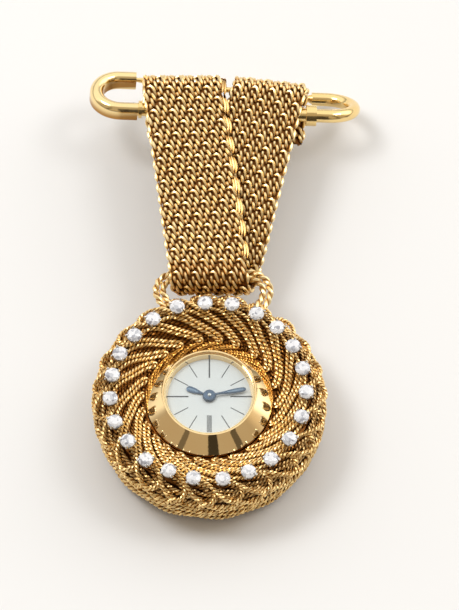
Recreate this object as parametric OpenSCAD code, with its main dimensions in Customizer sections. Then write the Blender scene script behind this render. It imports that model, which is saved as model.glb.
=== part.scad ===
// Brooch watch: a small round watch set in a nest of looped gold rope, ringed
// with claw-set brilliants. A doubled rope bail hangs it in the fold of a woven
// gold ribbon, and the ribbon's two ends loop over the bar of a safety pin.
// Frame: the watch lies on its back on Z = 0, dial up. The origin is the middle
// of the case back, +Z is the dial's normal and +Y points to the pin.

/* [Case] */
// Outer radius of the case band
case_r = 8.9; // [8.6:0.05:9.2]
// Wall of the case band
case_wall = 0.9; // [0.7:0.05:1.1]
// Thickness of the case back
back_t = 0.6; // [0.5:0.05:0.8]
// Height of the bezel's rim above the back
rim_z = 10.05; // [9.7:0.05:10.3]
// Height of the bezel
bezel_h = 2.0; // [1.8:0.05:2.2]
// Radius of the dial opening
opening_r = 6.4; // [6.1:0.05:6.6]
// Width of the flat lip round the opening
lip_w = 0.3; // [0.2:0.05:0.4]
// Doming of the crystal at its middle
crystal_rise = 0.35; // [0.2:0.05:0.5]
// Thickness of the crystal
crystal_t = 0.4; // [0.3:0.05:0.5]

/* [Dial and hands] */
// Distance of the dial's edge inside the case band
dial_inset = 0.7; // [0.6:0.05:0.9]
// Thickness of the dial
dial_t = 0.4; // [0.3:0.05:0.5]
// Depth of the dial below the bezel's rim
dial_depth = 1.3; // [1.25:0.05:1.4]
// Length of the minute hand from its centre
minute_hand_l = 5.3; // [4.8:0.1:5.5]
// Length of the hour hand from its centre
hour_hand_l = 3.45; // [3.0:0.05:3.8]
// Greatest width of a hand's blade
hand_w = 0.72; // [0.5:0.02:0.8]
// Thickness of a hand
hand_t = 0.12; // [0.1:0.01:0.14]
// Time on the dial, in hours past twelve
shown_time = 3.72; // [0:0.01:11.99]

/* [Nest of rope] */
// Diameter of the rope in the nest
rope_d = 0.7; // [0.6:0.05:0.75]
// Loops laid in the top of the nest
nest_loops = 12; // [10:1:12]
// Distance between the bezel and the centreline of the loops beside it
nest_gap = 0.65; // [0.55:0.05:0.85]
// Centreline radius of the loops at the rim
nest_out_r = 15.95; // [15.6:0.05:16.2]
// Angle between a rope of the loops and a circle round the dial
nest_slant = 30; // [29:1:36]
// Centreline height of the rope beside the bezel
nest_in_z = 7.75; // [7.6:0.05:7.8]
// Centreline height of the rope below the stones
nest_top_z = 9.1; // [8.9:0.05:9.15]
// Centreline height of the rope at the rim
nest_rim_z = 7.0; // [6.9:0.05:7.3]
// Turns of rope round the side of the nest
side_turns = 4; // [3:1:4]
// Distance of the lowest side turn inside the rim
side_taper = 0.85; // [0.65:0.05:0.95]
// Thickness of the sheet that carries the ropes
sheet_t = 0.5; // [0.4:0.05:0.6]
// Thickness of the flat ring under the nest
base_t = 0.6; // [0.5:0.05:0.8]

/* [Stones] */
// Number of brilliants
stones = 23; // [20:1:24]
// Distance of the ring of stones inside the rim
stone_inset = 2.2; // [2.05:0.05:2.45]
// Radius of a brilliant at its girdle
stone_r = 1.0; // [0.9:0.02:1.1]
// Turn of the first stone from +X
stone_turn = -3.0; // [-8:0.5:8]
// Radius of a claw
claw_r = 0.14; // [0.12:0.01:0.16]
// Height of a setting from foot to girdle
setting_h = 1.05; // [0.95:0.05:1.1]

/* [Bail] */
// Diameter of each bail rope
bail_d = 1.0; // [0.9:0.05:1.05]
// Height of the bail above the back
bail_z = 8.0; // [7.8:0.1:8.2]
// Distance of the bail's bar beyond the nest's rim
bail_rise = 3.2; // [3.15:0.05:3.8]
// Sideways place of the left leg
bail_left = -7.5; // [-7.8:0.1:-7.3]
// Sideways place of the right leg
bail_right = 8.4; // [8.2:0.1:8.7]
// Bend radius of the bail's corners
bail_bend = 2.4; // [2.2:0.1:2.6]

/* [Ribbon] */
// Width of the woven ribbon
ribbon_w = 11.4; // [11.1:0.1:11.6]
// Width of the ribbon where the bail draws it together
fold_w = 11.2; // [10.8:0.1:11.3]
// Gap between the two ends of the ribbon on the bar
strip_gap = 1.05; // [0.8:0.05:1.2]
// Thickness of the woven ribbon
ribbon_t = 1.2; // [1.0:0.05:1.25]
// Rope columns across the ribbon
ribbon_columns = 10; // [8:1:10]
// Inner radius of the fold round the bail
fold_r = 1.3; // [1.2:0.05:1.4]
// Inner radius of the left loop round the pin's bar
left_loop_r = 1.55; // [1.5:0.05:1.65]
// Inner radius of the right loop round the pin's bar
right_loop_r = 1.35; // [1.3:0.05:1.45]
// Distance of the loops' centres beyond the pin's bar
loop_reach = 2.4; // [2.2:0.1:2.6]
// Length of the left end turned back under the ribbon
left_return = 6; // [5:0.5:8]
// Length of the right end turned back under the ribbon
right_return = 6; // [5:0.5:8]

/* [Safety pin] */
// Radius of the pin's bar
bar_r = 0.95; // [0.9:0.01:1.0]
// Distance of the bar from the dial's centre
bar_y = 45.0; // [44.5:0.1:45.5]
// Height of the bar's middle above the back
bar_z = 8.8; // [8.6:0.05:9.0]
// Sideways place of the bar's middle
bar_x = 2.3; // [2.1:0.1:2.5]
// Slope of the bar down to the right
bar_roll = 4.5; // [4.2:0.1:4.8]
// Length of the bar from its middle to the hood
bar_left_l = 12.6; // [12.5:0.05:12.8]
// Length of the bar from its middle to the hinge collar
bar_right_l = 12.15; // [12.1:0.05:12.4]
// Distance between the two legs of the hood
hood_span = 6.7; // [6.5:0.05:6.9]
// Slope of the hood from the bar down to the stem
hood_tilt = 22; // [20:0.5:24]
// Straight length of the hood's legs
hood_leg = 2.4; // [2.2:0.1:2.8]
// Wall of the hood
hood_wall = 0.28; // [0.24:0.01:0.32]
// Depth of the hood's open side below its round top
hood_drop = 1.25; // [1.1:0.05:1.4]
// Distance between the two legs of the hinged bow
bow_span = 7.7; // [7.5:0.05:7.9]
// Slope of the hinged bow from the bar down to the stem
bow_tilt = 45; // [43:0.5:47]
// Straight length of the bow's upper leg
bow_leg = 1.7; // [1.6:0.05:1.9]
// Radius of the sharp stem
stem_r = 0.4; // [0.35:0.01:0.42]
// Radius of the journal that the bow turns on
journal_r = 0.5; // [0.45:0.01:0.55]

/* [Movement] */
// Radial gap between the case band and the movement's main plate
plate_gap = 0.3; // [0.2:0.02:0.4]
// Thickness of the main plate
plate_t = 1.1; // [1.0:0.05:1.2]
// Room between the main plate and the bridges
train_room = 1.9; // [1.9:0.05:2.1]
// Thickness of the bridges
bridge_t = 0.4; // [0.35:0.05:0.5]
// Radius of the mainspring barrel on a main plate of 7.7
barrel_r = 3.1; // [3.0:0.02:3.12]
// Distance from the centre to the minute wheel's post on a main plate of 7.7
motion_gap = 2.15; // [2.05:0.05:2.2]
// Radius of the winding crown
crown_r = 1.9; // [1.8:0.05:2.0]
// Thickness of the winding crown
crown_t = 0.8; // [0.7:0.05:0.85]
// Travel of the crown when it is pulled to set the hands
crown_pull = 0.6; // [0.5:0.05:0.6]
// Radial clearance of a turning shaft in its hole
run_gap = 0.02; // [0.015:0.005:0.03]
// Radial clearance between the rims of two wheels
rim_gap = 0.05; // [0.04:0.01:0.08]

/* [Hidden] */
$fn = 64;

gold = [0.86, 0.66, 0.32];
pale_gold = [0.93, 0.78, 0.48];
white_gold = [0.82, 0.80, 0.76];
steel = [0.68, 0.69, 0.71];
blued = [0.16, 0.24, 0.38];
silver_dial = [0.90, 0.90, 0.88];
brass = [0.80, 0.68, 0.40];

seat = 0.02;                 // gap between pieces that are clamped together
case_in_r = case_r - case_wall;
bezel_z = rim_z - bezel_h;
bezel_r = case_r + 0.05;
lip_r = opening_r + lip_w;
dial_r = case_in_r - dial_inset;
dial_z = rim_z - dial_depth;
crystal_z = rim_z - 0.4;     // ledge that the crystal lies on
rehaut_w = 0.15;
dial_hole_gap = 0.08;

plate_z = dial_z - dial_t - plate_t;
bridge_z = plate_z - train_room - bridge_t;
back_rim_h = 0.5;            // height of the rim that centres the case back
well_depth = 1.6;            // depth of the crown's well in the case back
well_wall = 0.3;
well_floor = 0.5;
well_play = 0.15;            // depth of the crown's face inside the well
crown_z = well_depth - well_play - crown_t;
sleeve_r = 0.7;
crown_arbor_r = 0.4;

// Places of the movement's arbors, seen from the dial, on a main plate of 7.7
plate_r = case_in_r - plate_gap;
train_scale = plate_r / 7.7;
third_at = train_scale * [1.2, 3.6];
fourth_at = train_scale * [3.55, 3.0];
escape_at = train_scale * [5.0, 1.25];
pallet_at = train_scale * [4.6, -0.9];
balance_at = train_scale * [2.6, -4.2];
drum_r = train_scale * barrel_r;
ratchet_r = train_scale * 2.2;
crown_pinion_r = train_scale * 1.1;
centre_pinion_r = train_scale * 0.44;
barrel_angle = 171.5;
crown_angle = -70;
barrel_at = (drum_r + centre_pinion_r + rim_gap) * [cos(barrel_angle), sin(barrel_angle)];
crown_at = barrel_at
    + (ratchet_r + crown_pinion_r + rim_gap) * [cos(crown_angle), sin(crown_angle)];
pivot_r = 0.15;
pivot_out = 0.1;             // reach of an arbor into its hole
barrel_arbor_r = 0.3;
centre_arbor_r = 0.25;
cannon_r = 0.42;
pipe_wall = 0.17;
pipe_r = cannon_r + run_gap + pipe_wall;
third_pinion_r = train_scale * 0.41;
fourth_pinion_r = train_scale * 0.28;
escape_pinion_r = train_scale * 0.2;
centre_rim_r = norm(third_at) - third_pinion_r - rim_gap;
third_rim_r = norm(fourth_at - third_at) - fourth_pinion_r - rim_gap;
fourth_rim_r = norm(escape_at - fourth_at) - escape_pinion_r - rim_gap;
escape_rim_r = train_scale * 1.3;
balance_rim_r = train_scale * 2.3;
wheel_t = 0.15;
ring_gap = 0.08;             // room between the balance and the movement ring

// Teeth of each wheel, and leaves of the pinion that it drives
barrel_teeth = 70;
centre_leaves = 10;
centre_teeth = 64;
third_leaves = 8;
third_teeth = 60;
fourth_leaves = 8;
fourth_teeth = 60;
escape_leaves = 6;
escape_teeth = 15;
ratchet_teeth = 28;
crown_leaves = 14;
cannon_leaves = 10;
minute_teeth = 30;
minute_leaves = 8;
hour_teeth = 32;

// Heights of the train, counted down from the main plate
barrel_h = 1.2;
barrel_wall = 0.18;
barrel_core_r = 0.8;
spring_gap = 0.25;           // room above and below the mainspring
tooth_h = 0.12;              // depth of the barrel's and the keyless wheels' teeth
keyless_t = 0.25;            // thickness of the ratchet and the crown's pinion
keyless_z = bridge_z - keyless_t - pivot_out;
barrel_z = plate_z - 0.2 - barrel_h;
centre_wheel_z = barrel_z - 0.35;
third_wheel_z = plate_z - 0.65;
fourth_wheel_z = barrel_z + 0.05;
escape_wheel_z = third_wheel_z;
balance_z = plate_z - 1.05;

// Motion works, in the dial side of the main plate
motion_z = plate_z + 0.5;
motion_wheel_t = 0.14;
minute_wheel_z = motion_z + 0.04;
hour_wheel_z = motion_z + 0.34;
motion_step = train_scale * motion_gap;
cannon_leaf_r = motion_step / 4 - rim_gap / 2;
minute_rim_r = 3 * motion_step / 4 - rim_gap / 2;
minute_pinion_r = motion_step / 5 - rim_gap / 2;
hour_rim_r = 4 * motion_step / 5 - rim_gap / 2;
post_angle = 200;
post_r = 0.2;
minute_post_at = motion_step * [cos(post_angle), sin(post_angle)];
recess_gap = 0.15;           // room round the motion wheels in the plate
hand_gap = 0.16;
hour_hand_z = dial_z + 0.17;
minute_hand_z = hour_hand_z + hand_t + hand_gap;
hour_hub_r = 0.95;
minute_hub_r = 0.85;
hub_grip = 0.005;            // play of a pressed hub on its pipe

// The dial's twelve points away from the pin, at -Y
hour_angle = -90 - shown_time * 30;
minute_angle = -90 - (shown_time - floor(shown_time)) * 360;

// Nest: the height of a rope's centreline at a radius
rope_r = rope_d / 2;
nest_in_r = bezel_r + nest_gap;
crest_r = nest_out_r - 2.35;
side_foot_r = nest_out_r - side_taper;
function ease(t) = t * t * (3 - 2 * t);
function clamp01(t) = min(1, max(0, t));
function mix(a, b, t) = a + (b - a) * t;
function rope_z(r) = r < crest_r
    ? nest_in_z + (nest_top_z - nest_in_z) * ease(clamp01((r - nest_in_r) / (crest_r - nest_in_r)))
    : nest_top_z - (nest_top_z - nest_rim_z) * pow((r - crest_r) / (nest_out_r - crest_r), 1.6);

// Nest: one rope laid out to the rim and in again along evenly spaced spiral
// legs. A round end joins two legs at the rim, and the next two at the bezel.
leg_step = 180 / nest_loops;
loop_turn = 72;
leg_rings = 5;
cap_rings = 7;
function half_gap(r) = r * PI / nest_loops / 2 * sin(nest_slant);
cap_low = nest_in_r + half_gap(nest_in_r);
cap_high = nest_out_r - half_gap(nest_out_r);
function leg_point(j, r) = let (
    a = loop_turn + j * leg_step + ln(r / cap_low) / tan(nest_slant) * 180 / PI)
    [r * cos(a), r * sin(a)];
function leg_points(j, from, to) = [for (i = [0:leg_rings])
    leg_point(j, from + (to - from) * i / leg_rings)];
function turned(v, a) = [v[0] * cos(a) - v[1] * sin(a), v[0] * sin(a) + v[1] * cos(a)];
// Half circle from one point to the next, turning by a positive or negative angle
function cap_points(from, to, angle) = let (middle = (from + to) / 2)
    [for (i = [1:cap_rings - 1]) middle + turned(from - middle, angle * i / cap_rings)];
function loop_points(k) = let (
    low = half_gap(cap_low) * cos(nest_slant),
    high = half_gap(cap_high) * cos(nest_slant),
    out_leg = leg_points(2 * k, cap_low - low, cap_high + high),
    in_leg = leg_points(2 * k + 1, cap_high - high, cap_low + low))
    concat(out_leg, cap_points(out_leg[leg_rings], in_leg[0], 180), in_leg,
        k == nest_loops - 1 ? [] :
            cap_points(in_leg[leg_rings], leg_point(2 * k + 2, cap_low - low), -180));
loops_path = [for (k = [0:nest_loops - 1]) each
    [for (p = loop_points(k)) [p[0], p[1], rope_z(norm(p))]]];
rings_per_loop = len(loop_points(0));

// Nest: the rope that winds down its side
side_top_r = nest_out_r + 0.1;
side_top_z = nest_rim_z - rope_d - 0.25;
side_foot_z = rope_r + 0.35;
side_rings = 24;
side_path = [for (i = [0:side_turns * side_rings]) let (
    t = i / (side_turns * side_rings),
    r = side_top_r - (side_top_r - side_foot_r) * t * t,
    a = i * 360 / side_rings)
    [r * cos(a), r * sin(a), side_top_z - (side_top_z - side_foot_z) * t]];

// Least gap of a rope to itself, between points more than a few rings apart
function least_gap(path, first, span, skip, d) = min([for (i = [0:first - 1])
    for (j = [i + skip:min(len(path) - 1, i + span)]) norm(path[i] - path[j])]) - d;
echo(loop_gap = least_gap(loops_path, rings_per_loop, 2 * rings_per_loop, 5, rope_d));
echo(side_gap = least_gap(side_path, side_rings, 3 * side_rings, 12, rope_d));

// Stones
stone_ring_r = nest_out_r - stone_inset;
setting_gap = 0.12;          // room between the ropes and the settings
girdle_z = nest_top_z + rope_r + setting_gap + setting_h;
pavilion_h = 0.86 * stone_r;
crown_h = 0.32 * stone_r;
girdle_h = 0.06;
setting_top_z = girdle_z - 0.2;
setting_foot_z = girdle_z - setting_h;
claw_at = stone_r + claw_r + 0.01;
setting_wall = 0.16;

// Bail
bail_y = nest_out_r + bail_rise;
bail_rope_gap = 0.04;
bail_step = (bail_d + bail_rope_gap) / 2;
bail_seat_r = nest_out_r + rope_r - 0.15;

// Ribbon: places of the folds and loops, seen from the side
fold_mid_r = fold_r + ribbon_t / 2;
left_mid_r = left_loop_r + ribbon_t / 2;
right_mid_r = right_loop_r + ribbon_t / 2;
bar_gap = 0.12;              // play between the ribbon and the top of the bar
function bar_height(x) = bar_z - (x - bar_x) * tan(bar_roll);
collar_w = 0.75;
collar_overlap = 0.7;        // length of the bar inside the hinge collar
hood_collar_w = 0.45;
hood_collar_from = 0.15;
left_play = 0.2;             // play between the ribbon and each collar
right_play = 0.16;
left_edge_x = bar_x + left_play
    - (bar_left_l - hood_collar_from - hood_collar_w) * cos(bar_roll);
right_edge_x = bar_x - right_play + (bar_right_l - collar_overlap) * cos(bar_roll);
left_top_x = left_edge_x + ribbon_w / 2;
right_loop_w = right_edge_x - left_edge_x - ribbon_w - strip_gap;
right_top_x = right_edge_x - right_loop_w / 2;
right_loop_lean = 0.6;       // the loop bulges sideways beyond the bar
loop_y = bar_y + loop_reach;
// A strip slopes down from its loop to the bail, by a share of its mean slope where it
// crosses the bar, and its loop stands that much higher
function loop_z(x, loop_r, foot_z, share) = let (
    drop = share * (loop_reach + bar_r) / (loop_y - bail_y))
    (bar_height(x) + bar_r + bar_gap - loop_r + drop * (loop_r + ribbon_t / 2 - foot_z))
        / (1 - drop);
rear_bow = 0.14;             // bow of the rear strip, as a share of its climb
left_loop_z = loop_z(left_edge_x, left_loop_r, bail_z + fold_mid_r, 1);
right_loop_z = loop_z(right_top_x, right_loop_r, bail_z - fold_mid_r, 1 - PI * rear_bow);
front_foot_x = -0.1;
rear_foot_x = 1.2;
front_heading = 5.2;
rear_heading = -12.5;
right_loop_yaw = -5;

// Ribbon: each row is [middle, width, yaw, roll, angle of its face round the X axis]
arc_rings = 9;
run_rings = 6;
function arc_row(mid, r, a, w, yaw, roll, flip = 0) =
    [mid + [0, r * cos(a), r * sin(a)], w, yaw, roll, a + flip];
function left_end_rows() = [for (i = [0:2]) let (
    back = left_return * (1 - i / 3),
    shift = (front_foot_x - left_top_x) * back / (loop_y - bail_y)) [
    [left_top_x + shift, loop_y - back, left_loop_z - left_mid_r], ribbon_w, 0, 0, -90]];
function left_loop_rows() = [for (i = [0:arc_rings]) arc_row([left_top_x, loop_y, left_loop_z],
    left_mid_r, -90 + 180 * i / arc_rings, ribbon_w, 0, 0)];
function front_rows() = [for (i = [1:run_rings - 1]) let (t = i / run_rings) [
    mix([left_top_x, loop_y, left_loop_z + left_mid_r],
        [front_foot_x, bail_y, bail_z + fold_mid_r], t),
    mix(ribbon_w, fold_w, t), front_heading * sin(180 * t), 0, 90]];
function fold_rows() = [for (i = [0:arc_rings]) let (t = i / arc_rings) arc_row(
    [mix(front_foot_x, rear_foot_x, t * t), bail_y, bail_z], fold_mid_r, 90 + 180 * t,
    fold_w, 0, 0)];
// The rear strip climbs to the bar behind the front one
function rear_rise(t) = t + rear_bow * sin(180 * t);
function rear_rows() = [for (i = [1:run_rings + 2]) let (
    t = i / (run_rings + 3),
    foot = [rear_foot_x, bail_y, bail_z - fold_mid_r],
    top = [right_top_x, loop_y, right_loop_z + right_mid_r]) [
    [mix(foot[0], top[0], t), mix(foot[1], top[1], t), mix(foot[2], top[2], rear_rise(t))],
    mix(fold_w, right_loop_w, t),
    rear_heading * sin(180 * min(t, 0.5)) + (right_loop_yaw - rear_heading) * max(0, 2 * t - 1),
    bar_roll * t * t, 270]];
function right_loop_rows() = [for (i = [0:arc_rings]) let (a = 90 - 180 * i / arc_rings)
    arc_row([right_top_x + right_loop_lean * cos(a), loop_y, right_loop_z],
        right_mid_r, a, right_loop_w, right_loop_yaw, bar_roll, 180)];
function right_end_rows() = [for (i = [1:3])
    [[right_top_x, loop_y - right_return * i / 3, right_loop_z - right_mid_r],
        right_loop_w, right_loop_yaw, bar_roll, 90]];

// Cross-section of the ribbon: a row of rope columns on both faces
function ribbon_face(side) = [for (i = [0:2 * ribbon_columns])
    [i / ribbon_columns / 2 - 0.5, side * (i % 2 == 0 ? 0.30 : 0.5)]];

// Safety pin, in the bar's own frame
hood_r = bar_r - 0.02;
hood_in_r = hood_r - hood_wall;
hood_end_x = -bar_left_l - hood_leg;
hood_lip = 0.12;
hinge_collar_r = 1.5;
hood_collar_r = 1.25;
bow_x = bar_right_l + run_gap + collar_w;
bow_end_x = bow_x + bow_leg;
lower_leg_l = 1.9;
stem_from = [bow_end_x - lower_leg_l, bow_span * cos(bow_tilt), -bow_span * sin(bow_tilt)];
stem_tip = [-bar_left_l - 2.0, hood_span * cos(hood_tilt), -hood_span * sin(hood_tilt) - 0.05];
journal_l = 0.5;             // length of the journal inside the bar's end
journal_room = 0.2;          // depth of the bore beyond the journal

function unit(v) = v / norm(v);

// Tube of round rope through the points of a path
module rope_tube(path, radius, sides = 6) {
    last = len(path) - 1;
    points = [for (i = [0:last]) let (
        along = unit(path[min(last, i + 1)] - path[max(0, i - 1)]),
        out = unit(cross(along, [0, 0, 1])),
        up = cross(out, along))
        for (k = [0:sides - 1]) let (a = 360 * k / sides)
            path[i] + radius * (cos(a) * out + sin(a) * up)];
    walls = [for (i = [0:last - 1]) for (k = [0:sides - 1]) let (
        a = i * sides + k, b = i * sides + (k + 1) % sides)
        each [[a, b, b + sides], [a, b + sides, a + sides]]];
    ends = [[for (k = [sides - 1:-1:0]) k], [for (k = [0:sides - 1]) last * sides + k]];
    polyhedron(points, concat(walls, ends));
}

// Turns the Z axis to point from one place to another
module aim(from, to) {
    line = to - from;
    translate(from) rotate([0, acos(line[2] / norm(line)), atan2(line[1], line[0])]) children();
}

module rod(from, to, r) {
    aim(from, to) cylinder(r = r, h = norm(to - from));
}

module ring(r_out, r_in, h) {
    difference() {
        cylinder(r = r_out, h = h);
        translate([0, 0, -1]) cylinder(r = r_in, h = h + 2);
    }
}

module at_xy(place, z = 0) {
    translate([place[0], place[1], z]) children();
}

// Case

module case_band() {
    color(gold) translate([0, 0, back_t + seat]) difference() {
        cylinder(r = case_r, h = bezel_z - back_t - 2 * seat);
        translate([0, 0, -1]) cylinder(r = case_in_r, h = bezel_z + 2);
    }
}

module case_back() {
    rim_wall = 0.6;
    well_r = crown_r + 0.3;
    boss_r = 1.2;
    color(gold) difference() {
        union() {
            cylinder(r = case_r, h = back_t);
            translate([0, 0, back_t])
                ring(case_in_r - seat, case_in_r - seat - rim_wall, back_rim_h);
            at_xy(crown_at) cylinder(r = well_r + well_wall, h = well_depth + well_floor);
            at_xy(crown_at) cylinder(r = boss_r, h = well_depth + 1);
        }
        at_xy(crown_at, -1) cylinder(r = well_r, h = well_depth + 1);
        at_xy(crown_at, -1) cylinder(r = sleeve_r + run_gap, h = well_depth + 3);
    }
}

module bezel() {
    inner_r = dial_r + 0.05;
    foot_h = 0.12;
    chamfer = 0.05;
    color(pale_gold) rotate_extrude() polygon([
        [inner_r, bezel_z], [bezel_r, bezel_z], [bezel_r, bezel_z + foot_h],
        [lip_r, rim_z - chamfer], [lip_r - chamfer, rim_z], [opening_r, rim_z],
        [opening_r, crystal_z], [opening_r - rehaut_w, crystal_z],
        [opening_r - rehaut_w, dial_z + seat], [inner_r, dial_z + seat]]);
}

module rehaut() {
    top = crystal_z - seat;
    r = opening_r - rehaut_w - seat;
    foot_w = 0.35;
    top_w = 0.12;
    color(pale_gold) rotate_extrude() polygon([
        [r - foot_w, dial_z + seat], [r, dial_z + seat], [r, top], [r - top_w, top]]);
}

// Domed lens: height of a shallow arc over the dial opening
function dome_z(r, edge_r) = let (
    dome_r = (edge_r * edge_r + crystal_rise * crystal_rise) / (2 * crystal_rise))
    sqrt(dome_r * dome_r - r * r) - dome_r + crystal_rise;

module crystal() {
    edge_r = opening_r - seat;
    base_z = crystal_z + seat;
    steps = 8;
    top_share = 0.6;
    under = [for (i = [0:steps]) let (r = edge_r * i / steps) [r, base_z + dome_z(r, edge_r)]];
    over = [for (i = [steps:-1:0]) let (r = edge_r * i / steps)
        [r, base_z + crystal_t + top_share * dome_z(r, edge_r)]];
    color([0.9, 0.95, 1, 0.3]) rotate_extrude() polygon(concat(under, over));
}

module dial() {
    color(silver_dial) translate([0, 0, dial_z - dial_t]) difference() {
        cylinder(r = dial_r, h = dial_t);
        translate([0, 0, -1]) cylinder(r = pipe_r + dial_hole_gap, h = 3);
    }
}

// Printed hour lines: long ones at each quarter, and a broad one at twelve
module dial_batons() {
    print_t = 0.02;
    color("black") for (i = [0:11]) rotate([0, 0, -90 + 30 * i]) {
        long_one = i % 3 == 0;
        outer = 5.5;
        inner = long_one ? 2.9 : 3.3;
        w = i == 0 ? 0.6 : long_one ? 0.14 : 0.08;
        translate([inner, -w / 2, dial_z]) cube([outer - inner, w, print_t]);
    }
}

// Blade of a hand: a narrow neck that widens and closes in a blunt point
module hand_blade(length, width) {
    polygon([[0.5, -0.12], [length * 0.45, -0.14], [length * 0.72, -width / 2],
        [length * 0.9, -width * 0.42], [length, -0.08], [length, 0.08],
        [length * 0.9, width * 0.42], [length * 0.72, width / 2], [length * 0.45, 0.14],
        [0.5, 0.12]]);
}

module hand(length, hub_r, bore_r) {
    linear_extrude(hand_t) difference() {
        union() {
            circle(r = hub_r);
            hand_blade(length, hand_w);
        }
        circle(r = bore_r);
    }
}

module hour_hand() {
    color(blued) translate([0, 0, hour_hand_z]) rotate([0, 0, hour_angle])
        hand(hour_hand_l, hour_hub_r, pipe_r + hub_grip);
}

module minute_hand() {
    color(blued) translate([0, 0, minute_hand_z]) rotate([0, 0, minute_angle])
        hand(minute_hand_l, minute_hub_r, cannon_r + hub_grip);
}

// Nest

module nest_shell() {
    skin = rope_r + 0.1;
    crest_z = nest_top_z - skin;
    bore_r = bezel_r + 0.05;
    edge_r = nest_out_r - skin;
    foot_r = side_foot_r - skin;
    lower_r = mix(nest_in_r, crest_r, 0.4);
    upper_r = mix(nest_in_r, crest_r, 0.7);
    outer_r = mix(crest_r, nest_out_r, 0.3);
    waist_z = nest_rim_z / 2;
    sunk = 0.04;             // depth of the shell's corners below the ropes
    outer = [[bore_r, nest_in_z - skin], [nest_in_r, nest_in_z - skin],
        [lower_r, rope_z(lower_r) - skin - sunk], [upper_r, rope_z(upper_r) - skin - sunk],
        [crest_r, crest_z - sunk], [outer_r, rope_z(outer_r) - skin - 0.1],
        [edge_r - 0.35, nest_rim_z - 0.1], [edge_r - 0.2, nest_rim_z - 0.9],
        [edge_r - 0.25, waist_z], [foot_r - 0.1, base_t + seat]];
    inner = [for (i = [len(outer) - 1:-1:1]) let (p = outer[i])
        i > 6 ? [p[0] - sheet_t, p[1]] : [p[0] - (i == 6 ? sheet_t : 0), p[1] - sheet_t * 1.2]];
    color(gold) rotate_extrude() polygon(concat(outer, inner,
        [[bore_r + sheet_t, nest_in_z - skin - 1.2 * sheet_t],
            [bore_r + sheet_t, base_t + seat], [bore_r, base_t + seat]]));
}

module nest_base() {
    color(gold) ring(side_foot_r - rope_r - 0.12, bezel_r + 0.05, base_t);
}

module nest_loops_rope() {
    color(gold) rope_tube(loops_path, rope_r);
}

module nest_side_rope() {
    color(gold) rope_tube(side_path, rope_r);
}

module each_stone() {
    for (i = [0:stones - 1]) rotate([0, 0, stone_turn + 360 * i / stones])
        translate([stone_ring_r, 0, 0]) children();
}

// A tapered cup with four claws, open below
module stone_settings() {
    h = setting_top_z - setting_foot_z;
    top_r = 0.83 * stone_r + setting_wall;
    foot_r = 0.46 * stone_r + setting_wall;
    color(white_gold) each_stone() {
        difference() {
            union() {
                translate([0, 0, setting_foot_z]) cylinder(r1 = foot_r, r2 = top_r, h = h);
                for (a = [45:90:315]) rotate([0, 0, a]) {
                    translate([claw_at, 0, setting_foot_z + 0.3])
                        cylinder(r = claw_r, h = setting_h - 0.15, $fn = 24);
                    translate([claw_at, 0, girdle_z + 0.15])
                        cylinder(r1 = claw_r, r2 = claw_r / 3, h = claw_r, $fn = 24);
                    translate([foot_r - 0.05, -0.07, setting_foot_z + 0.3])
                        cube([claw_at - foot_r, 0.14, 0.3]);
                }
            }
            translate([0, 0, setting_foot_z - 0.01])
                cylinder(r1 = foot_r - setting_wall, r2 = top_r - setting_wall, h = h + 0.02);
        }
    }
}

module brilliants() {
    color([0.95, 0.97, 1]) each_stone() translate([0, 0, girdle_z]) rotate([0, 0, 22.5]) {
        cylinder(r = stone_r, h = girdle_h, center = true, $fn = 8);
        translate([0, 0, girdle_h / 2])
            cylinder(r1 = stone_r, r2 = 0.56 * stone_r, h = crown_h, $fn = 8);
        translate([0, 0, -girdle_h / 2 - pavilion_h])
            cylinder(r1 = 0.02, r2 = stone_r, h = pavilion_h, $fn = 8);
    }
}

// A corner of a bail rope with the leg below it, bent about the origin
module bail_corner(bend, leg) {
    rotate_extrude(angle = 90) translate([bend, 0]) circle(r = bail_d / 2);
    translate([bend, 0, 0]) rotate([90, 0, 0]) linear_extrude(leg) circle(r = bail_d / 2);
}

// One rope of the bail, drawn a step outside or inside the middle line
module bail_rope(step) {
    left = bail_left - step;
    right = bail_right + step;
    bend = bail_bend + step;
    corner_y = bail_y - bail_bend;
    left_foot = sqrt(pow(bail_seat_r, 2) - pow(left + bail_d / 2, 2));
    right_foot = sqrt(pow(bail_seat_r, 2) - pow(right - bail_d / 2, 2));
    translate([right - bend, corner_y, bail_z]) bail_corner(bend, corner_y - right_foot);
    translate([left + bend, corner_y, bail_z]) mirror([1, 0, 0])
        bail_corner(bend, corner_y - left_foot);
    translate([left + bend, bail_y + step, bail_z]) rotate([90, 0, 90])
        linear_extrude(right - left - 2 * bend) circle(r = bail_d / 2);
}

module bail() {
    color(pale_gold) {
        bail_rope(bail_step);
        bail_rope(-bail_step);
    }
}

// Ribbon: one long strip, from the left end over the bar, down the front,
// round the bail, up behind and over the bar again to the right end
module mesh_ribbon() {
    rows = concat(left_end_rows(), left_loop_rows(), front_rows(), fold_rows(),
        rear_rows(), right_loop_rows(), right_end_rows());
    outline = concat(ribbon_face(1), [for (p = ribbon_face(-1)) [-p[0], p[1]]]);
    n = len(outline);
    last = len(rows) - 1;
    points = [for (row = rows) let (
        yaw = row[2], roll = row[3],
        across = [cos(yaw) * cos(roll), sin(yaw) * cos(roll), -sin(roll)],
        face = unit([0, cos(row[4]), sin(row[4])]))
        for (p = outline) row[0] + p[0] * row[1] * across + p[1] * ribbon_t * face];
    walls = [for (i = [0:last - 1]) for (k = [0:n - 1]) let (
        a = i * n + k, b = i * n + (k + 1) % n)
        each [[a, b + n, b], [a, a + n, b + n]]];
    foot = last * n;
    ends = [for (k = [0:n / 2 - 2]) let (m = n - 1 - k)
        each [[k, k + 1, m], [k + 1, m - 1, m],
            [foot + k, foot + m, foot + k + 1], [foot + k + 1, foot + m, foot + m - 1]]];
    color(gold) polyhedron(points, concat(walls, ends));
}

// Safety pin

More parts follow.
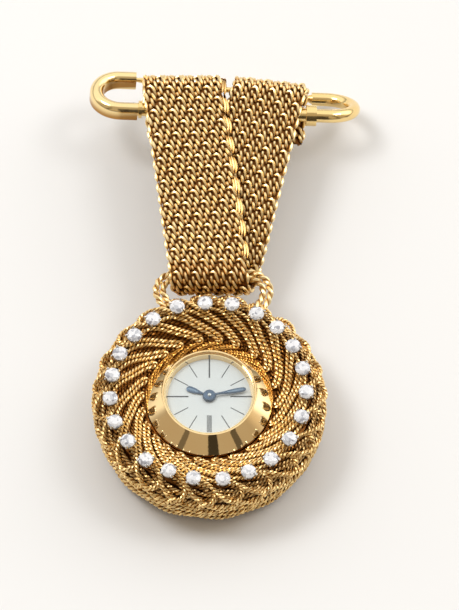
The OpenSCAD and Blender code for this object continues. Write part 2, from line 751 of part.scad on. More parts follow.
module on_bar() {
    translate([bar_x, bar_y, bar_z]) rotate([0, bar_roll, 0]) children();
}

module pin_bar() {
    tenon_l = hood_leg - 0.4;
    color(pale_gold) on_bar() difference() {
        union() {
            rod([-bar_left_l, 0, 0], [bar_right_l, 0, 0], bar_r);
            rod([-bar_left_l - tenon_l, 0, 0], [-bar_left_l, 0, 0],
                hood_in_r - seat);
        }
        rod([bar_right_l - journal_l - journal_room, 0, 0], [bar_right_l + 1, 0, 0],
            journal_r + run_gap);
    }
}

// Section of the hood: a round top over two lips, open below
module hood_section() {
    difference() {
        union() {
            circle(r = hood_r, $fn = 48);
            translate([-hood_r, -hood_drop]) square([2 * hood_r, hood_drop]);
        }
        circle(r = hood_in_r, $fn = 48);
        translate([-hood_in_r, -hood_drop + 0.25]) square([2 * hood_in_r, hood_drop - 0.25]);
        translate([-hood_in_r + hood_lip, -hood_drop - 1])
            square([2 * (hood_in_r - hood_lip), hood_drop]);
    }
}

module catch_hood() {
    color(pale_gold) on_bar() rotate([-hood_tilt, 0, 0]) {
        for (y = [0, hood_span]) translate([hood_end_x, y, 0]) rotate([90, 0, 90])
            linear_extrude(hood_leg) hood_section();
        translate([hood_end_x, hood_span / 2, 0]) rotate([0, 0, 90])
            rotate_extrude(angle = 180) translate([hood_span / 2, 0]) hood_section();
    }
}

module bar_ring(x, r, w) {
    translate([x, 0, 0]) rotate([0, 90, 0]) ring(r, bar_r + 0.005, w);
}

module hood_collar() {
    color(pale_gold) on_bar()
        bar_ring(-bar_left_l + hood_collar_from, hood_collar_r, hood_collar_w);
}

// The bow's journal turns in this collar and in the bar's bored end
module hinge_collar() {
    color(pale_gold) on_bar() difference() {
        rod([bar_right_l - collar_overlap, 0, 0], [bow_x - run_gap, 0, 0], hinge_collar_r);
        rod([bar_right_l - collar_overlap - 1, 0, 0], [bar_right_l + 0.005, 0, 0],
            bar_r + 0.005);
        rod([bar_right_l - 1, 0, 0], [bow_x + 1, 0, 0], journal_r + run_gap);
    }
}

// Hinged bow with its journal, and the sharp stem that it carries to the hood
module pin_stem() {
    point_l = 3.0;
    point_r = 0.08;
    root_l = 0.4;
    root_r = bar_r - 0.12;
    stem_root = stem_from - root_l * unit(stem_tip - stem_from);
    stem_l = norm(stem_tip - stem_root);
    color(pale_gold) on_bar() {
        rod([bar_right_l - journal_l, 0, 0], [bow_x + 0.2, 0, 0], journal_r);
        rotate([-bow_tilt, 0, 0]) {
            rod([bow_x, 0, 0], [bow_end_x, 0, 0], bar_r);
            rod([stem_from[0], bow_span, 0], [bow_end_x, bow_span, 0], bar_r);
            translate([bow_end_x, bow_span / 2, 0]) rotate([0, 0, -90])
                rotate_extrude(angle = 180) translate([bow_span / 2, 0])
                    circle(r = bar_r, $fn = 48);
        }
        aim(stem_root, stem_tip) rotate_extrude() polygon([[0, 0], [root_r, 0],
            [stem_r, 3 * root_l], [stem_r, stem_l - point_l], [point_r, stem_l], [0, stem_l]]);
    }
}

// Movement

// Outline of a toothed wheel, with short square teeth inside its rim radius
function wheel_outline(r, teeth, depth) = [for (i = [0:teeth - 1])
    for (step = [0:3]) let (
        a = (i + [0.05, 0.45, 0.55, 0.95][step]) * 360 / teeth,
        reach = step < 2 ? r : r - depth)
        [reach * cos(a), reach * sin(a)]];

// Spoked wheel with a bored hub
module train_wheel(r, h, teeth, hub_r, bore_r, spokes = 4) {
    web_r = 0.76 * r;
    spoke_w = 0.16 * r;
    linear_extrude(h) difference() {
        polygon(wheel_outline(r, teeth, 0.09 * r));
        difference() {
            circle(r = web_r);
            circle(r = hub_r);
            for (i = [0:spokes - 1]) rotate(360 * i / spokes)
                translate([0, -spoke_w / 2]) square([r, spoke_w]);
        }
        if (bore_r > 0) circle(r = bore_r);
    }
}

module pinion(r, h, leaves) {
    linear_extrude(h) polygon(wheel_outline(r, leaves, 0.22 * r));
}

// Arbor that runs from the bridge's hole to the plate's hole
module arbor(r, from_z, to_z) {
    translate([0, 0, from_z]) cylinder(r = r, h = to_z - from_z, $fn = 32);
}

module movement_ring() {
    top = plate_z - seat;
    foot = back_t + back_rim_h + seat;
    color(brass) translate([0, 0, foot])
        ring(case_in_r - seat, balance_rim_r + norm(balance_at) + ring_gap, top - foot);
}

module main_plate() {
    recess_z = motion_z - 0.06;
    color(brass) difference() {
        union() {
            translate([0, 0, plate_z]) cylinder(r = plate_r, h = bezel_z - plate_z - seat);
            translate([0, 0, plate_z]) cylinder(r = dial_r - 0.05, h = plate_t - seat);
        }
        translate([0, 0, recess_z]) cylinder(r = hour_rim_r + recess_gap, h = 2);
        at_xy(minute_post_at, recess_z) cylinder(r = minute_rim_r + recess_gap, h = 2);
        translate([0, 0, plate_z - 1]) cylinder(r = centre_arbor_r + run_gap, h = 3);
        for (at = [third_at, fourth_at, escape_at, pallet_at, balance_at])
            at_xy(at, plate_z - 1) cylinder(r = pivot_r + run_gap, h = 1.25);
        at_xy(barrel_at, plate_z - 1) cylinder(r = barrel_arbor_r + run_gap, h = 1.3);
    }
    color(brass) at_xy(minute_post_at, recess_z) cylinder(r = post_r, h = 0.5);
}

module barrel_drum() {
    color(brass) at_xy(barrel_at, barrel_z) difference() {
        union() {
            cylinder(r = drum_r - barrel_wall, h = barrel_h);
            linear_extrude(0.3) polygon(wheel_outline(drum_r, barrel_teeth, tooth_h));
        }
        translate([0, 0, barrel_wall])
            cylinder(r = drum_r - 2 * barrel_wall, h = barrel_h - 2 * barrel_wall);
        translate([0, 0, -1]) cylinder(r = barrel_arbor_r + run_gap, h = barrel_h + 2);
    }
}

// Coiled strip, drawn as turns of a spiral with flat sides
module mainspring() {
    turns = 5;
    steps = 18;
    strip = 0.12;
    r_in = barrel_core_r + 0.05;
    pitch = (drum_r - 2 * barrel_wall - 0.1 - strip - r_in) / turns;
    spiral = [for (i = [0:turns * steps]) let (a = 360 * i / steps, r = r_in + pitch * i / steps)
        r * [cos(a), sin(a)]];
    back_edge = [for (i = [turns * steps:-1:0]) let (a = 360 * i / steps,
        r = r_in + strip + pitch * i / steps) r * [cos(a), sin(a)]];
    color(steel) at_xy(barrel_at, barrel_z + spring_gap)
        linear_extrude(barrel_h - 2 * spring_gap) polygon(concat(spiral, back_edge));
}

module ratchet_wheel() {
    color(steel) at_xy(barrel_at) {
        translate([0, 0, keyless_z]) linear_extrude(keyless_t)
            polygon(wheel_outline(ratchet_r, ratchet_teeth, tooth_h));
        arbor(barrel_arbor_r, keyless_z, plate_z + 0.25);
        translate([0, 0, barrel_z + spring_gap])
            cylinder(r = barrel_core_r, h = barrel_h - 2 * spring_gap);
    }
}

module centre_wheel() {
    color(brass) {
        translate([0, 0, centre_wheel_z]) train_wheel(centre_rim_r, wheel_t, centre_teeth, 0.7, 0);
        translate([0, 0, barrel_z]) pinion(centre_pinion_r, 0.6, centre_leaves);
        arbor(centre_arbor_r, bridge_z + pivot_out, minute_hand_z + hand_t + 0.1);
    }
}

module third_wheel() {
    color(brass) at_xy(third_at) {
        translate([0, 0, third_wheel_z]) train_wheel(third_rim_r, wheel_t, third_teeth, 0.45, 0);
        translate([0, 0, centre_wheel_z - 0.1]) pinion(third_pinion_r, 0.4, third_leaves);
        arbor(pivot_r, bridge_z + pivot_out, plate_z + 2 * pivot_out);
    }
}

module fourth_wheel() {
    color(brass) at_xy(fourth_at) {
        translate([0, 0, fourth_wheel_z]) train_wheel(fourth_rim_r, wheel_t, fourth_teeth, 0.4, 0);
        translate([0, 0, third_wheel_z - 0.1]) pinion(fourth_pinion_r, 0.35, fourth_leaves);
        arbor(pivot_r, bridge_z + pivot_out, plate_z + 2 * pivot_out);
    }
}

module escape_wheel() {
    color(steel) at_xy(escape_at) {
        translate([0, 0, escape_wheel_z]) train_wheel(escape_rim_r, wheel_t, escape_teeth, 0.35, 0);
        translate([0, 0, fourth_wheel_z - 0.1]) pinion(escape_pinion_r, 0.35, escape_leaves);
        arbor(pivot_r, bridge_z + pivot_out, plate_z + 2 * pivot_out);
    }
}

// Anchor with its two pallets either side of the escape wheel, and a forked tail
module pallet_fork() {
    to_escape = escape_at - pallet_at;
    to_balance = balance_at - pallet_at;
    facing = atan2(to_escape[1], to_escape[0]);
    tail = atan2(to_balance[1], to_balance[0]);
    tail_l = norm(to_balance) - 0.75;
    color(steel) at_xy(pallet_at) {
        translate([0, 0, escape_wheel_z]) {
            linear_extrude(wheel_t) {
                circle(r = 0.3, $fn = 24);
                rotate(facing - 90) translate([-0.95, -0.1]) square([1.9, 0.2]);
                rotate(tail) translate([0, -0.08]) square([tail_l, 0.16]);
            }
            for (side = [-1, 1]) rotate([0, 0, facing - 90])
                translate([side * 0.95 - 0.1, -0.1, 0]) cube([0.2, 0.45, wheel_t]);
        }
        arbor(pivot_r, bridge_z + pivot_out, plate_z + 2 * pivot_out);
    }
}

module balance_wheel() {
    color(brass) at_xy(balance_at) {
        translate([0, 0, balance_z]) linear_extrude(0.22) difference() {
            circle(r = balance_rim_r);
            difference() {
                circle(r = balance_rim_r - 0.3);
                circle(r = 0.4);
                translate([-balance_rim_r, -0.12]) square([2 * balance_rim_r, 0.24]);
            }
        }
        arbor(0.45, escape_wheel_z - 0.12, escape_wheel_z - 0.04);
        arbor(pivot_r, bridge_z + pivot_out, plate_z + 2 * pivot_out);
    }
}

// Flat spiral on the balance staff
module hairspring() {
    turns = 3;
    steps = 16;
    strip = 0.06;
    pitch = 0.3;
    spiral = [for (i = [0:turns * steps]) let (a = 360 * i / steps, r = 0.3 + pitch * i / steps)
        r * [cos(a), sin(a)]];
    back_edge = [for (i = [turns * steps:-1:0]) let (a = 360 * i / steps,
        r = 0.3 + strip + pitch * i / steps) r * [cos(a), sin(a)]];
    color(steel) at_xy(balance_at, balance_z - 0.35) {
        linear_extrude(0.1) polygon(concat(spiral, back_edge));
        ring(0.34, pivot_r + 0.005, 0.1);
    }
}

// A bridge: its share of the disc, its pillars and its pivot holes
module bridge(pillars, pivots, holes) {
    difference() {
        union() {
            translate([0, 0, bridge_z]) linear_extrude(bridge_t) intersection() {
                circle(r = plate_r - bridge_inset);
                children();
            }
            for (p = pillars) at_xy(p, bridge_z)
                cylinder(r = pillar_r, h = bridge_t + train_room - seat, $fn = 32);
        }
        for (p = pivots) at_xy(p, bridge_z - 1) cylinder(r = pivot_r + run_gap, h = 3, $fn = 32);
        for (p = holes) at_xy([p[0], p[1]], bridge_z - 1) cylinder(r = p[2], h = 3);
        for (p = pillars) at_xy(p, bridge_z - 1)
            cylinder(r = screw_r + seat, h = 2, $fn = 24);
    }
}

bridge_inset = 0.55;         // distance of the bridges' edge inside the plate's
pillar_r = 0.5;
screw_r = 0.22;
barrel_pillars = train_scale * [[-4.4, 4.9], [-6.3, -2.6]];
train_pillars = train_scale * [[3.3, 5.7], [6.65, -0.15]];
cock_pillars = train_scale * [[5.9, -3.4]];
seam_x = train_scale * -0.7;
seam_y = train_scale * -1.4;
seam_w = 0.2;
cock_w = train_scale * 2.2;

module barrel_bridge() {
    color(steel) bridge(barrel_pillars, [],
        [[barrel_at[0], barrel_at[1], barrel_arbor_r + run_gap],
            [crown_at[0], crown_at[1], crown_arbor_r + run_gap]])
        translate([-plate_r, -plate_r]) square([plate_r + seam_x - seam_w / 2, 2 * plate_r]);
}

module train_bridge() {
    color(steel) bridge(train_pillars, [third_at, fourth_at, escape_at, pallet_at],
        [[0, 0, centre_arbor_r + run_gap]])
        translate([seam_x + seam_w / 2, seam_y]) square(2 * plate_r);
}

module balance_cock() {
    color(steel) bridge(cock_pillars, [balance_at], [])
        union() {
            translate([balance_at[0], balance_at[1] - 0.36 * cock_w])
                square([2 * plate_r, cock_w]);
            translate(balance_at) circle(r = cock_w / 2);
        }
}

module bridge_screws() {
    head_h = 0.2;
    head_r = 0.42;
    slot_w = 0.12;
    color(steel) for (p = concat(barrel_pillars, train_pillars, cock_pillars)) at_xy(p) {
        translate([0, 0, bridge_z - head_h]) difference() {
            cylinder(r = head_r, h = head_h - seat, $fn = 24);
            translate([-0.5, -slot_w / 2, -0.1]) cube([1, slot_w, 0.18]);
        }
        arbor(screw_r, bridge_z - head_h / 2, bridge_z + 0.9);
    }
}

module cannon_pinion() {
    top = minute_hand_z + hand_t + 0.04;
    color(steel) difference() {
        union() {
            translate([0, 0, motion_z]) pinion(cannon_leaf_r, 0.28, cannon_leaves);
            translate([0, 0, motion_z]) cylinder(r = cannon_r, h = top - motion_z, $fn = 32);
        }
        translate([0, 0, motion_z - 1]) cylinder(r = centre_arbor_r + run_gap, h = 4, $fn = 32);
    }
}

module minute_wheel() {
    color(brass) at_xy(minute_post_at) difference() {
        union() {
            translate([0, 0, minute_wheel_z])
                train_wheel(minute_rim_r, motion_wheel_t, minute_teeth, 0.45, 0);
            translate([0, 0, minute_wheel_z]) pinion(minute_pinion_r, 0.46, minute_leaves);
        }
        translate([0, 0, motion_z - 1]) cylinder(r = post_r + run_gap, h = 3, $fn = 32);
    }
}

module hour_wheel() {
    color(brass) difference() {
        union() {
            translate([0, 0, hour_wheel_z])
                train_wheel(hour_rim_r, motion_wheel_t, hour_teeth, 0.75, 0);
            translate([0, 0, hour_wheel_z])
                cylinder(r = pipe_r, h = hour_hand_z + hand_t + 0.04 - hour_wheel_z);
        }
        translate([0, 0, motion_z - 1]) cylinder(r = cannon_r + run_gap, h = 4);
    }
}

// Flat crown in the back's well, with its stem and its winding pinion
module winding_crown() {
    notches = 24;
    color(gold) at_xy(crown_at) {
        translate([0, 0, crown_z]) linear_extrude(crown_t)
            polygon(wheel_outline(crown_r, notches, tooth_h));
        arbor(crown_arbor_r, crown_z, bridge_z + bridge_t);
        translate([0, 0, keyless_z]) linear_extrude(keyless_t)
            polygon(wheel_outline(crown_pinion_r, crown_leaves, tooth_h));
    }
}

module crown_sleeve() {
    color(steel) at_xy(crown_at, crown_z + crown_t + run_gap)
        ring(sleeve_r, crown_arbor_r + run_gap, 2.2);
}

case_band();
case_back();
bezel();
rehaut();
crystal();
dial();
dial_batons();
hour_hand();
minute_hand();
nest_shell();
nest_base();
nest_loops_rope();
nest_side_rope();
stone_settings();
brilliants();
bail();
mesh_ribbon();
pin_bar();
catch_hood();
hood_collar();
hinge_collar();
pin_stem();
winding_crown();
crown_sleeve();
movement_ring();
main_plate();
barrel_drum();
mainspring();
ratchet_wheel();
centre_wheel();
third_wheel();
fourth_wheel();
escape_wheel();
pallet_fork();
balance_wheel();
hairspring();
barrel_bridge();
train_bridge();
balance_cock();
bridge_screws();
cannon_pinion();
minute_wheel();
hour_wheel();
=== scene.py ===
"""Brooch watch: a small round watch in a nest of looped gold rope, hung from a woven
gold ribbon on a safety pin. Lengths are millimetres until they become vertices."""

import math
import random

import bmesh
import bpy
import numpy as np
from mathutils import Matrix, Vector


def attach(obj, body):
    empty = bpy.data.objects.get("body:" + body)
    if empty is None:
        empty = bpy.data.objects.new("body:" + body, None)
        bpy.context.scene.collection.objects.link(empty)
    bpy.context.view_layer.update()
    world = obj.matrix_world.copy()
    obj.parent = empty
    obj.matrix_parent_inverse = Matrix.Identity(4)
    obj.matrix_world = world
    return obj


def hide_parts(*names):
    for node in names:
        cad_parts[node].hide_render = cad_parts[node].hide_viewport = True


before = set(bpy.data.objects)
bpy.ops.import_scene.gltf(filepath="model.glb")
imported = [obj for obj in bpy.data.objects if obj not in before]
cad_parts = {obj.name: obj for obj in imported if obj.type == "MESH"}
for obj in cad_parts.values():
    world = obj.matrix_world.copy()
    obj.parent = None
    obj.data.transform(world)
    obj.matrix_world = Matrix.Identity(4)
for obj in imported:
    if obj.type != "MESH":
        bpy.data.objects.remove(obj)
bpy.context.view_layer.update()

MM = 0.001
random.seed(7)


# Camera: the photograph's frame, 459 by 610 pixels, seen 63.5 degrees above the table
FRAME_H = 610
MM_PER_PIXEL = 0.142
CAMERA_TILT = math.radians(63.5)
CAMERA_DISTANCE = 2400
CAMERA_TARGET = Vector((2.84, 18.80, 0))
SENSOR = 36

camera_data = bpy.data.cameras.new("camera")
camera_data.sensor_width = SENSOR
camera_data.lens = SENSOR * CAMERA_DISTANCE / (FRAME_H * MM_PER_PIXEL)
camera_data.clip_start = 0.01
camera = bpy.data.objects.new("camera", camera_data)
bpy.context.scene.collection.objects.link(camera)
away = Vector((0, -math.cos(CAMERA_TILT), math.sin(CAMERA_TILT)))
camera.location = (CAMERA_TARGET + away * CAMERA_DISTANCE) * MM
camera.rotation_euler = (math.pi / 2 - CAMERA_TILT, 0, 0)
bpy.context.scene.camera = camera


# Sizes in millimetres. Those that the CAD source names too are the same there, but for
# ROPE_R, which is 0.35 there, and STONE_R, which is 1.0
ROPE_R = 0.33
ROPE_PITCH = 1.25
PAIR_HALF = 0.32
# Course of the ropes' middle over the nest, from the bezel to the foot: radius, height
NEST_COURSE = ((9.24, 7.62), (9.6, 7.75), (10.6, 7.93), (11.6, 8.42), (12.6, 8.92),
    (13.6, 9.10), (14.3, 8.98), (15.0, 8.50), (15.6, 7.80), (16.0, 7.0), (16.12, 6.0),
    (16.0, 4.6), (15.6, 2.6), (15.1, 0.5))
# Reach along the course, near the stones, at which a petal has its given turn
SEAT_REACH = 4.4
STONES = 23
STONE_RING_R = 13.75
STONE_R = 1.07
# How far each stone stands from an even ring: degrees round it, millimetres outward
STONE_SHIFTS = ((2.4, -0.09), (2.5, -0.11), (2.6, 0.01), (2.4, 0.08), (1.7, 0.15), (1.6, 0.28),
    (1.6, 0.12), (2.4, 0.28), (2.9, 0.11), (2.5, 0.0), (1.5, 0.17), (0.4, 0.16), (-0.1, 0.26),
    (-0.6, 0.39), (-1.8, 0.14), (-1.5, 0.23), (-2.1, -0.07), (-2.4, 0.02), (-0.8, 0.11),
    (-0.8, 0.03), (-0.8, -0.03), (0.7, -0.2), (1.5, -0.17))
STONE_TURN = math.radians(-3.0)
GIRDLE_Z = 10.62
SETTING_FOOT_Z = 9.57

BEZEL_R = 8.95
BEZEL_Z = 8.05
RIM_Z = 10.05
LIP_R = 6.7
OPENING_R = 6.4
DIAL_Z = 8.75
DIAL_R = 7.3
CRYSTAL_Z = 9.65
HOUR_HAND_Z = 8.92
MINUTE_HAND_Z = 9.20
HOUR_ANGLE = math.radians(-201.6)
MINUTE_ANGLE = math.radians(-349.2)

BAIL_Z = 8.0
BAIL_Y = 19.15
BAIL_ROPE_R = 0.5

RIBBON_W, FOLD_W, RIGHT_LOOP_W = 11.4, 11.2, 10.57
FOLD_MID_R, LEFT_MID_R, RIGHT_MID_R = 1.9, 2.15, 1.95
LOOP_Y = 47.4
LEFT_LOOP_Z, RIGHT_LOOP_Z = 9.447, 8.327
LEFT_TOP_X, RIGHT_TOP_X = -3.763, 8.271
FRONT_FOOT_X, REAR_FOOT_X = -0.1, 1.2
LEFT_RETURN, RIGHT_RETURN = 6, 6
# Degrees by which the strips and the right loop are turned about an upright axis (yaw)
# and about their length (roll)
FRONT_YAW, REAR_YAW, RIGHT_YAW = 5.2, -12.5, -5
RIGHT_ROLL = 4.5
# How far the rear strip bows, as a share of its rise, and the right loop's shift on the bar
REAR_BOW = 0.14
RIGHT_SHIFT = 0.6
# Lengths along the ribbon: where the front strip ends, and the fold round the bail
FRONT_END = LEFT_RETURN + math.pi * LEFT_MID_R + LOOP_Y - BAIL_Y
FOLD_L = math.pi * FOLD_MID_R
# The weave's columns, the share of the ribbon's width that they take, a stitch's length
CORDS = 8
CORD_SHARE = 0.935
MOTIF_L = 3.6


# Materials

class Signal:
    """A node's output that takes part in arithmetic; every step adds a Math node."""

    def __init__(self, nodes, socket):
        self.nodes = nodes
        self.socket = socket

    def math(self, operation, *others):
        values = dict(enumerate((self, *others)))
        return self.nodes.node("Math", {"operation": operation}, values)

    def __add__(self, other):
        return self.math("ADD", other)

    __radd__ = __add__

    def __rsub__(self, other):
        return self.nodes.node("Math", {"operation": "SUBTRACT"}, {0: other, 1: self})

    def __mul__(self, other):
        return self.math("MULTIPLY", other)

    __rmul__ = __mul__

    def __pow__(self, other):
        return self.math("POWER", other)

    def between(self, low, high, first=0.0, last=1.0):
        """First where this is below low, last where it is above high, smooth between."""
        return self.nodes.node("MapRange", {"interpolation_type": "SMOOTHSTEP"},
            {"Value": self, "From Min": low, "From Max": high, "To Min": first, "To Max": last})


class Nodes:
    """The nodes of a material or of the studio's surroundings."""

    def __init__(self, tree):
        self.tree = tree

    def feed(self, socket, value):
        if isinstance(value, Signal):
            self.tree.links.new(value.socket, socket)
        elif isinstance(value, tuple) and len(value) == 3 and len(socket.default_value) == 4:
            socket.default_value = (*value, 1)
        else:
            socket.default_value = value

    def node(self, kind, settings=None, values=None, output=0):
        made = self.tree.nodes.new("ShaderNode" + kind)
        for key, value in (settings or {}).items():
            setattr(made, key, value)
        for key, value in (values or {}).items():
            self.feed(made.inputs[key], value)
        return Signal(self, made.outputs[output])

    def mix(self, share, low, high):
        """A colour between two, by their numbered sockets on a Mix node of colours."""
        return self.node("Mix", {"data_type": "RGBA"}, {0: share, 6: low, 7: high}, output=2)


class Finish(Nodes):
    """A material: its Principled shader, and the nodes that feed it."""

    def __init__(self, name, **constants):
        self.material = bpy.data.materials.new(name)
        self.material.use_nodes = True
        super().__init__(self.material.node_tree)
        self.shader = self.tree.nodes["Principled BSDF"]
        self.set(**constants)

    def set(self, **sockets):
        for socket, value in sockets.items():
            self.feed(self.shader.inputs[socket.replace("_", " ")], value)
        return self

    def place(self):
        """Object coordinates, in metres."""
        return self.node("TexCoord", output="Object")

    def axis(self, letter):
        """One of the object coordinates."""
        return self.node("SeparateXYZ", values={"Vector": self.place()}, output=letter)

    def stretched(self, scale):
        return self.node("Mapping", values={"Vector": self.place(), "Scale": scale})

    def noise(self, scale, detail=3, where=None):
        return self.node("TexNoise", values={"Vector": where or self.place(),
            "Scale": scale, "Detail": detail})

    def attribute(self, name):
        return self.node("Attribute", {"attribute_name": name}, output="Fac")

    def bump(self, height, distance):
        """Relief of a height that varies from 0 to 1, over a distance in millimetres."""
        return self.node("Bump", values={"Height": height, "Distance": distance * MM,
            "Strength": 1.0})


# Tones of wire: light and mid are the gold's own; amber and deep are painted shade on flanks and
# in grooves
GOLD_LIGHT = (1.0, 0.84, 0.50)
GOLD_MID = (0.93, 0.66, 0.28)
GOLD_PAINTED_FLANK_SHADE = (0.62, 0.31, 0.07)
GOLD_PAINTED_GROOVE_SHADE = (0.13, 0.045, 0.008)


def polished_gold():
    """Bright metal with faint rubbing marks and slow changes of tone."""
    gold = Finish("polished_gold", Metallic=1.0)
    cloud = gold.noise(160)
    marks = gold.noise(2600, 2)
    return gold.set(Base_Color=gold.mix(cloud, (0.92, 0.66, 0.27), (1.0, 0.76, 0.36)),
        Roughness=0.10 + 0.10 * marks, Normal=gold.bump(marks, 0.004))


def hood_gold_painted_reflection():
    """Polished cap: a pale rim, browner sides above it, and a pale face. The browner sides
    are a painted reflection of dark surroundings. The browner band lies lower towards the
    brooch's top."""
    gold = Finish("hood_gold_painted_reflection", Metallic=1.0)
    height = gold.axis("Z") + 0.3 * gold.axis("Y")
    past_rim = height.between(21.75 * MM, 21.95 * MM)
    past_painted_band = height.between(22.6 * MM, 23.7 * MM)
    face = gold.mix(gold.noise(160), (0.95, 0.70, 0.32), (1.0, 0.80, 0.42))
    # Painted reflection: the browner band stands for dark surroundings mirrored in the sides
    side = gold.mix(past_painted_band, (0.46, 0.24, 0.07), face)
    return gold.set(Base_Color=gold.mix(past_rim, face, side),
        Roughness=0.10 + 0.10 * gold.noise(2600, 2))


def bezel_gold():
    """The brightest polish, with faint marks from wiping."""
    gold = Finish("bezel_gold", Metallic=1.0)
    cloud = gold.noise(220)
    marks = gold.noise(3200, 2)
    return gold.set(Base_Color=gold.mix(cloud, (0.93, 0.65, 0.31), (1.0, 0.76, 0.41)),
        Roughness=0.035 + 0.03 * marks, Normal=gold.bump(marks, 0.0015))


def drawn_gold(name, low, high, dull=GOLD_MID, bright=GOLD_LIGHT):
    """Drawn wire, with painted shade: nearly black in its grooves, amber on its flanks,
    pale on its crowns, and dimmed by more painted shade where it lies deep."""
    gold = Finish(name, Metallic=1.0)
    relief = gold.attribute("relief")
    flank = relief.between(low - 0.2, low + 0.1)
    crown = relief.between(low, high)
    cloud = gold.noise(420)
    skin = gold.mix(cloud, dull, bright)
    # Painted shade by relief and by depth
    open_tone = gold.mix(crown, gold.mix(flank, GOLD_PAINTED_GROOVE_SHADE, GOLD_PAINTED_FLANK_SHADE), skin)
    deep_painted_shade = gold.mix(crown, (0.03, 0.010, 0.003), (0.26, 0.11, 0.025))
    grain = gold.noise(9000, 2)
    return gold.set(Base_Color=gold.mix(gold.attribute("depth"), open_tone, deep_painted_shade),
        Roughness=0.42 - 0.10 * crown, Normal=gold.bump(grain, 0.006))


def painted_shade_gold(name, low, high):
    """Gold painted dark as shade, like gold under the ropes that only sees light that
    other gold has coloured.
    """
    gold = Finish(name, Metallic=1.0)
    return gold.set(Base_Color=gold.mix(gold.noise(700), low, high), Roughness=0.42)


def white_gold(name, low, high):
    """Satin white metal in two tones."""
    metal = Finish(name, Metallic=1.0)
    cloud = metal.noise(900)
    return metal.set(Base_Color=metal.mix(cloud, low, high), Roughness=0.14 + 0.1 * cloud)


def brilliant():
    """Cut stone: white, with a scatter of grey and dark facets as painted reflection."""
    stone = Finish("brilliant", Roughness=0.05, IOR=2.0)
    spark = stone.node("TexVoronoi", values={"Vector": stone.place(), "Scale": 2300},
        output="Color")
    tone = stone.node("SeparateColor", values={"Color": spark})
    # Painted reflection: grey and dark facets picked by cell
    pale = stone.mix(tone.between(0.15, 0.6), (0.46, 0.47, 0.51), (0.79, 0.79, 0.81))
    return stone.set(Base_Color=stone.mix(tone.between(0.08, 0.14), (0.30, 0.30, 0.34), pale))


def silvered_dial():
    """Satin silver with a fine upright grain."""
    silver = Finish("silvered_dial", Metallic=0.2)
    grain = silver.noise(1, 3, silver.stretched((9000, 700, 700)))
    cloud = silver.noise(260)
    return silver.set(Base_Color=silver.mix(cloud, (0.645, 0.655, 0.67), (0.73, 0.74, 0.755)),
        Roughness=0.34 + 0.14 * grain, Normal=silver.bump(grain, 0.004))


def dial_ink():
    """Black print, a little uneven."""
    ink = Finish("dial_ink", Metallic=0.0)
    cloud = ink.noise(5000)
    return ink.set(Base_Color=ink.mix(cloud, (0.012, 0.012, 0.014), (0.05, 0.05, 0.055)),
        Roughness=0.3 + 0.1 * cloud)


def blued_steel(name, low, high):
    """Steel heated to blue."""
    steel = Finish(name, Metallic=0.8)
    cloud = steel.noise(1500)
    return steel.set(Base_Color=steel.mix(cloud, low, high), Roughness=0.28 + 0.12 * cloud)


def worked_metal(name, low, high, roughness):
    """Movement metal with a straight grain."""
    metal = Finish(name, Metallic=1.0)
    grain = metal.noise(1, 3, metal.stretched((500, 9000, 500)))
    return metal.set(Base_Color=metal.mix(grain, low, high),
        Roughness=roughness + 0.15 * grain, Normal=metal.bump(grain, 0.003))


def glass():
    """Clear lens: seen through, with a mirror coat that grows towards its edge."""
    lens = Finish("crystal_glass")
    gloss = lens.node("BsdfGlossy", values={"Color": (1, 1, 1), "Roughness": 0.02})
    clear = lens.node("BsdfTransparent", values={"Color": (0.97, 0.985, 0.98)})
    slant = lens.node("LayerWeight", values={"Blend": 0.5}, output="Facing")
    edge = 0.04 + 0.96 * slant ** 5
    both = lens.node("MixShader", values={0: edge, 1: clear, 2: gloss})
    lens.feed(lens.tree.nodes["Material Output"].inputs["Surface"], both)
    return lens


FINISHES = {
    "polished_gold": polished_gold(),
    "hood_gold_painted_reflection": hood_gold_painted_reflection(),
    "bezel_gold": bezel_gold(),
    # Painted shade: the nest's wire gets a deeper amber skin and darker grooves than the ribbon's
    "nest_gold": drawn_gold("nest_gold", 0.69, 0.96, (0.88, 0.57, 0.19), (1.0, 0.80, 0.43)),
    "ribbon_gold": drawn_gold("ribbon_gold", 0.60, 0.96),
    "weave_gold": drawn_gold("weave_gold", 0.54, 0.90),
    # Painted shade: a darker copy of the ribbon's wire, toning down the edge turns' bright
    # reflections
    "turn_gold": drawn_gold("turn_gold", 0.60, 0.96, (0.60, 0.40, 0.15), (0.74, 0.56, 0.27)),
    "bail_gold": drawn_gold("bail_gold", 0.58, 0.9),
    # Painted shade: the next two are gold painted nearly black to dark amber, under ropes and
    # inside the weave
    "shaded_gold": painted_shade_gold("shaded_gold", (0.10, 0.035, 0.008), (0.24, 0.09, 0.02)),
    "core_gold": painted_shade_gold("core_gold", (0.10, 0.035, 0.008), (0.22, 0.085, 0.02)),
    "white_gold": white_gold("white_gold", (0.72, 0.69, 0.64), (0.92, 0.90, 0.87)),
    # Painted shade: white gold painted dark, for the rings under the stones
    "shaded_white": white_gold("shaded_white", (0.16, 0.13, 0.10), (0.34, 0.30, 0.25)),
    "brilliant": brilliant(),
    "silvered_dial": silvered_dial(),
    "dial_ink": dial_ink(),
    "blued_steel": blued_steel("blued_steel", (0.06, 0.10, 0.165), (0.09, 0.14, 0.22)),
    "blued_ridge": blued_steel("blued_ridge", (0.15, 0.21, 0.30), (0.22, 0.30, 0.40)),
    "brass": worked_metal("movement_brass", (0.70, 0.52, 0.24), (0.85, 0.67, 0.36), 0.25),
    "steel": worked_metal("movement_steel", (0.50, 0.51, 0.53), (0.70, 0.71, 0.73), 0.2),
    "glass": glass(),
}


# Making pieces

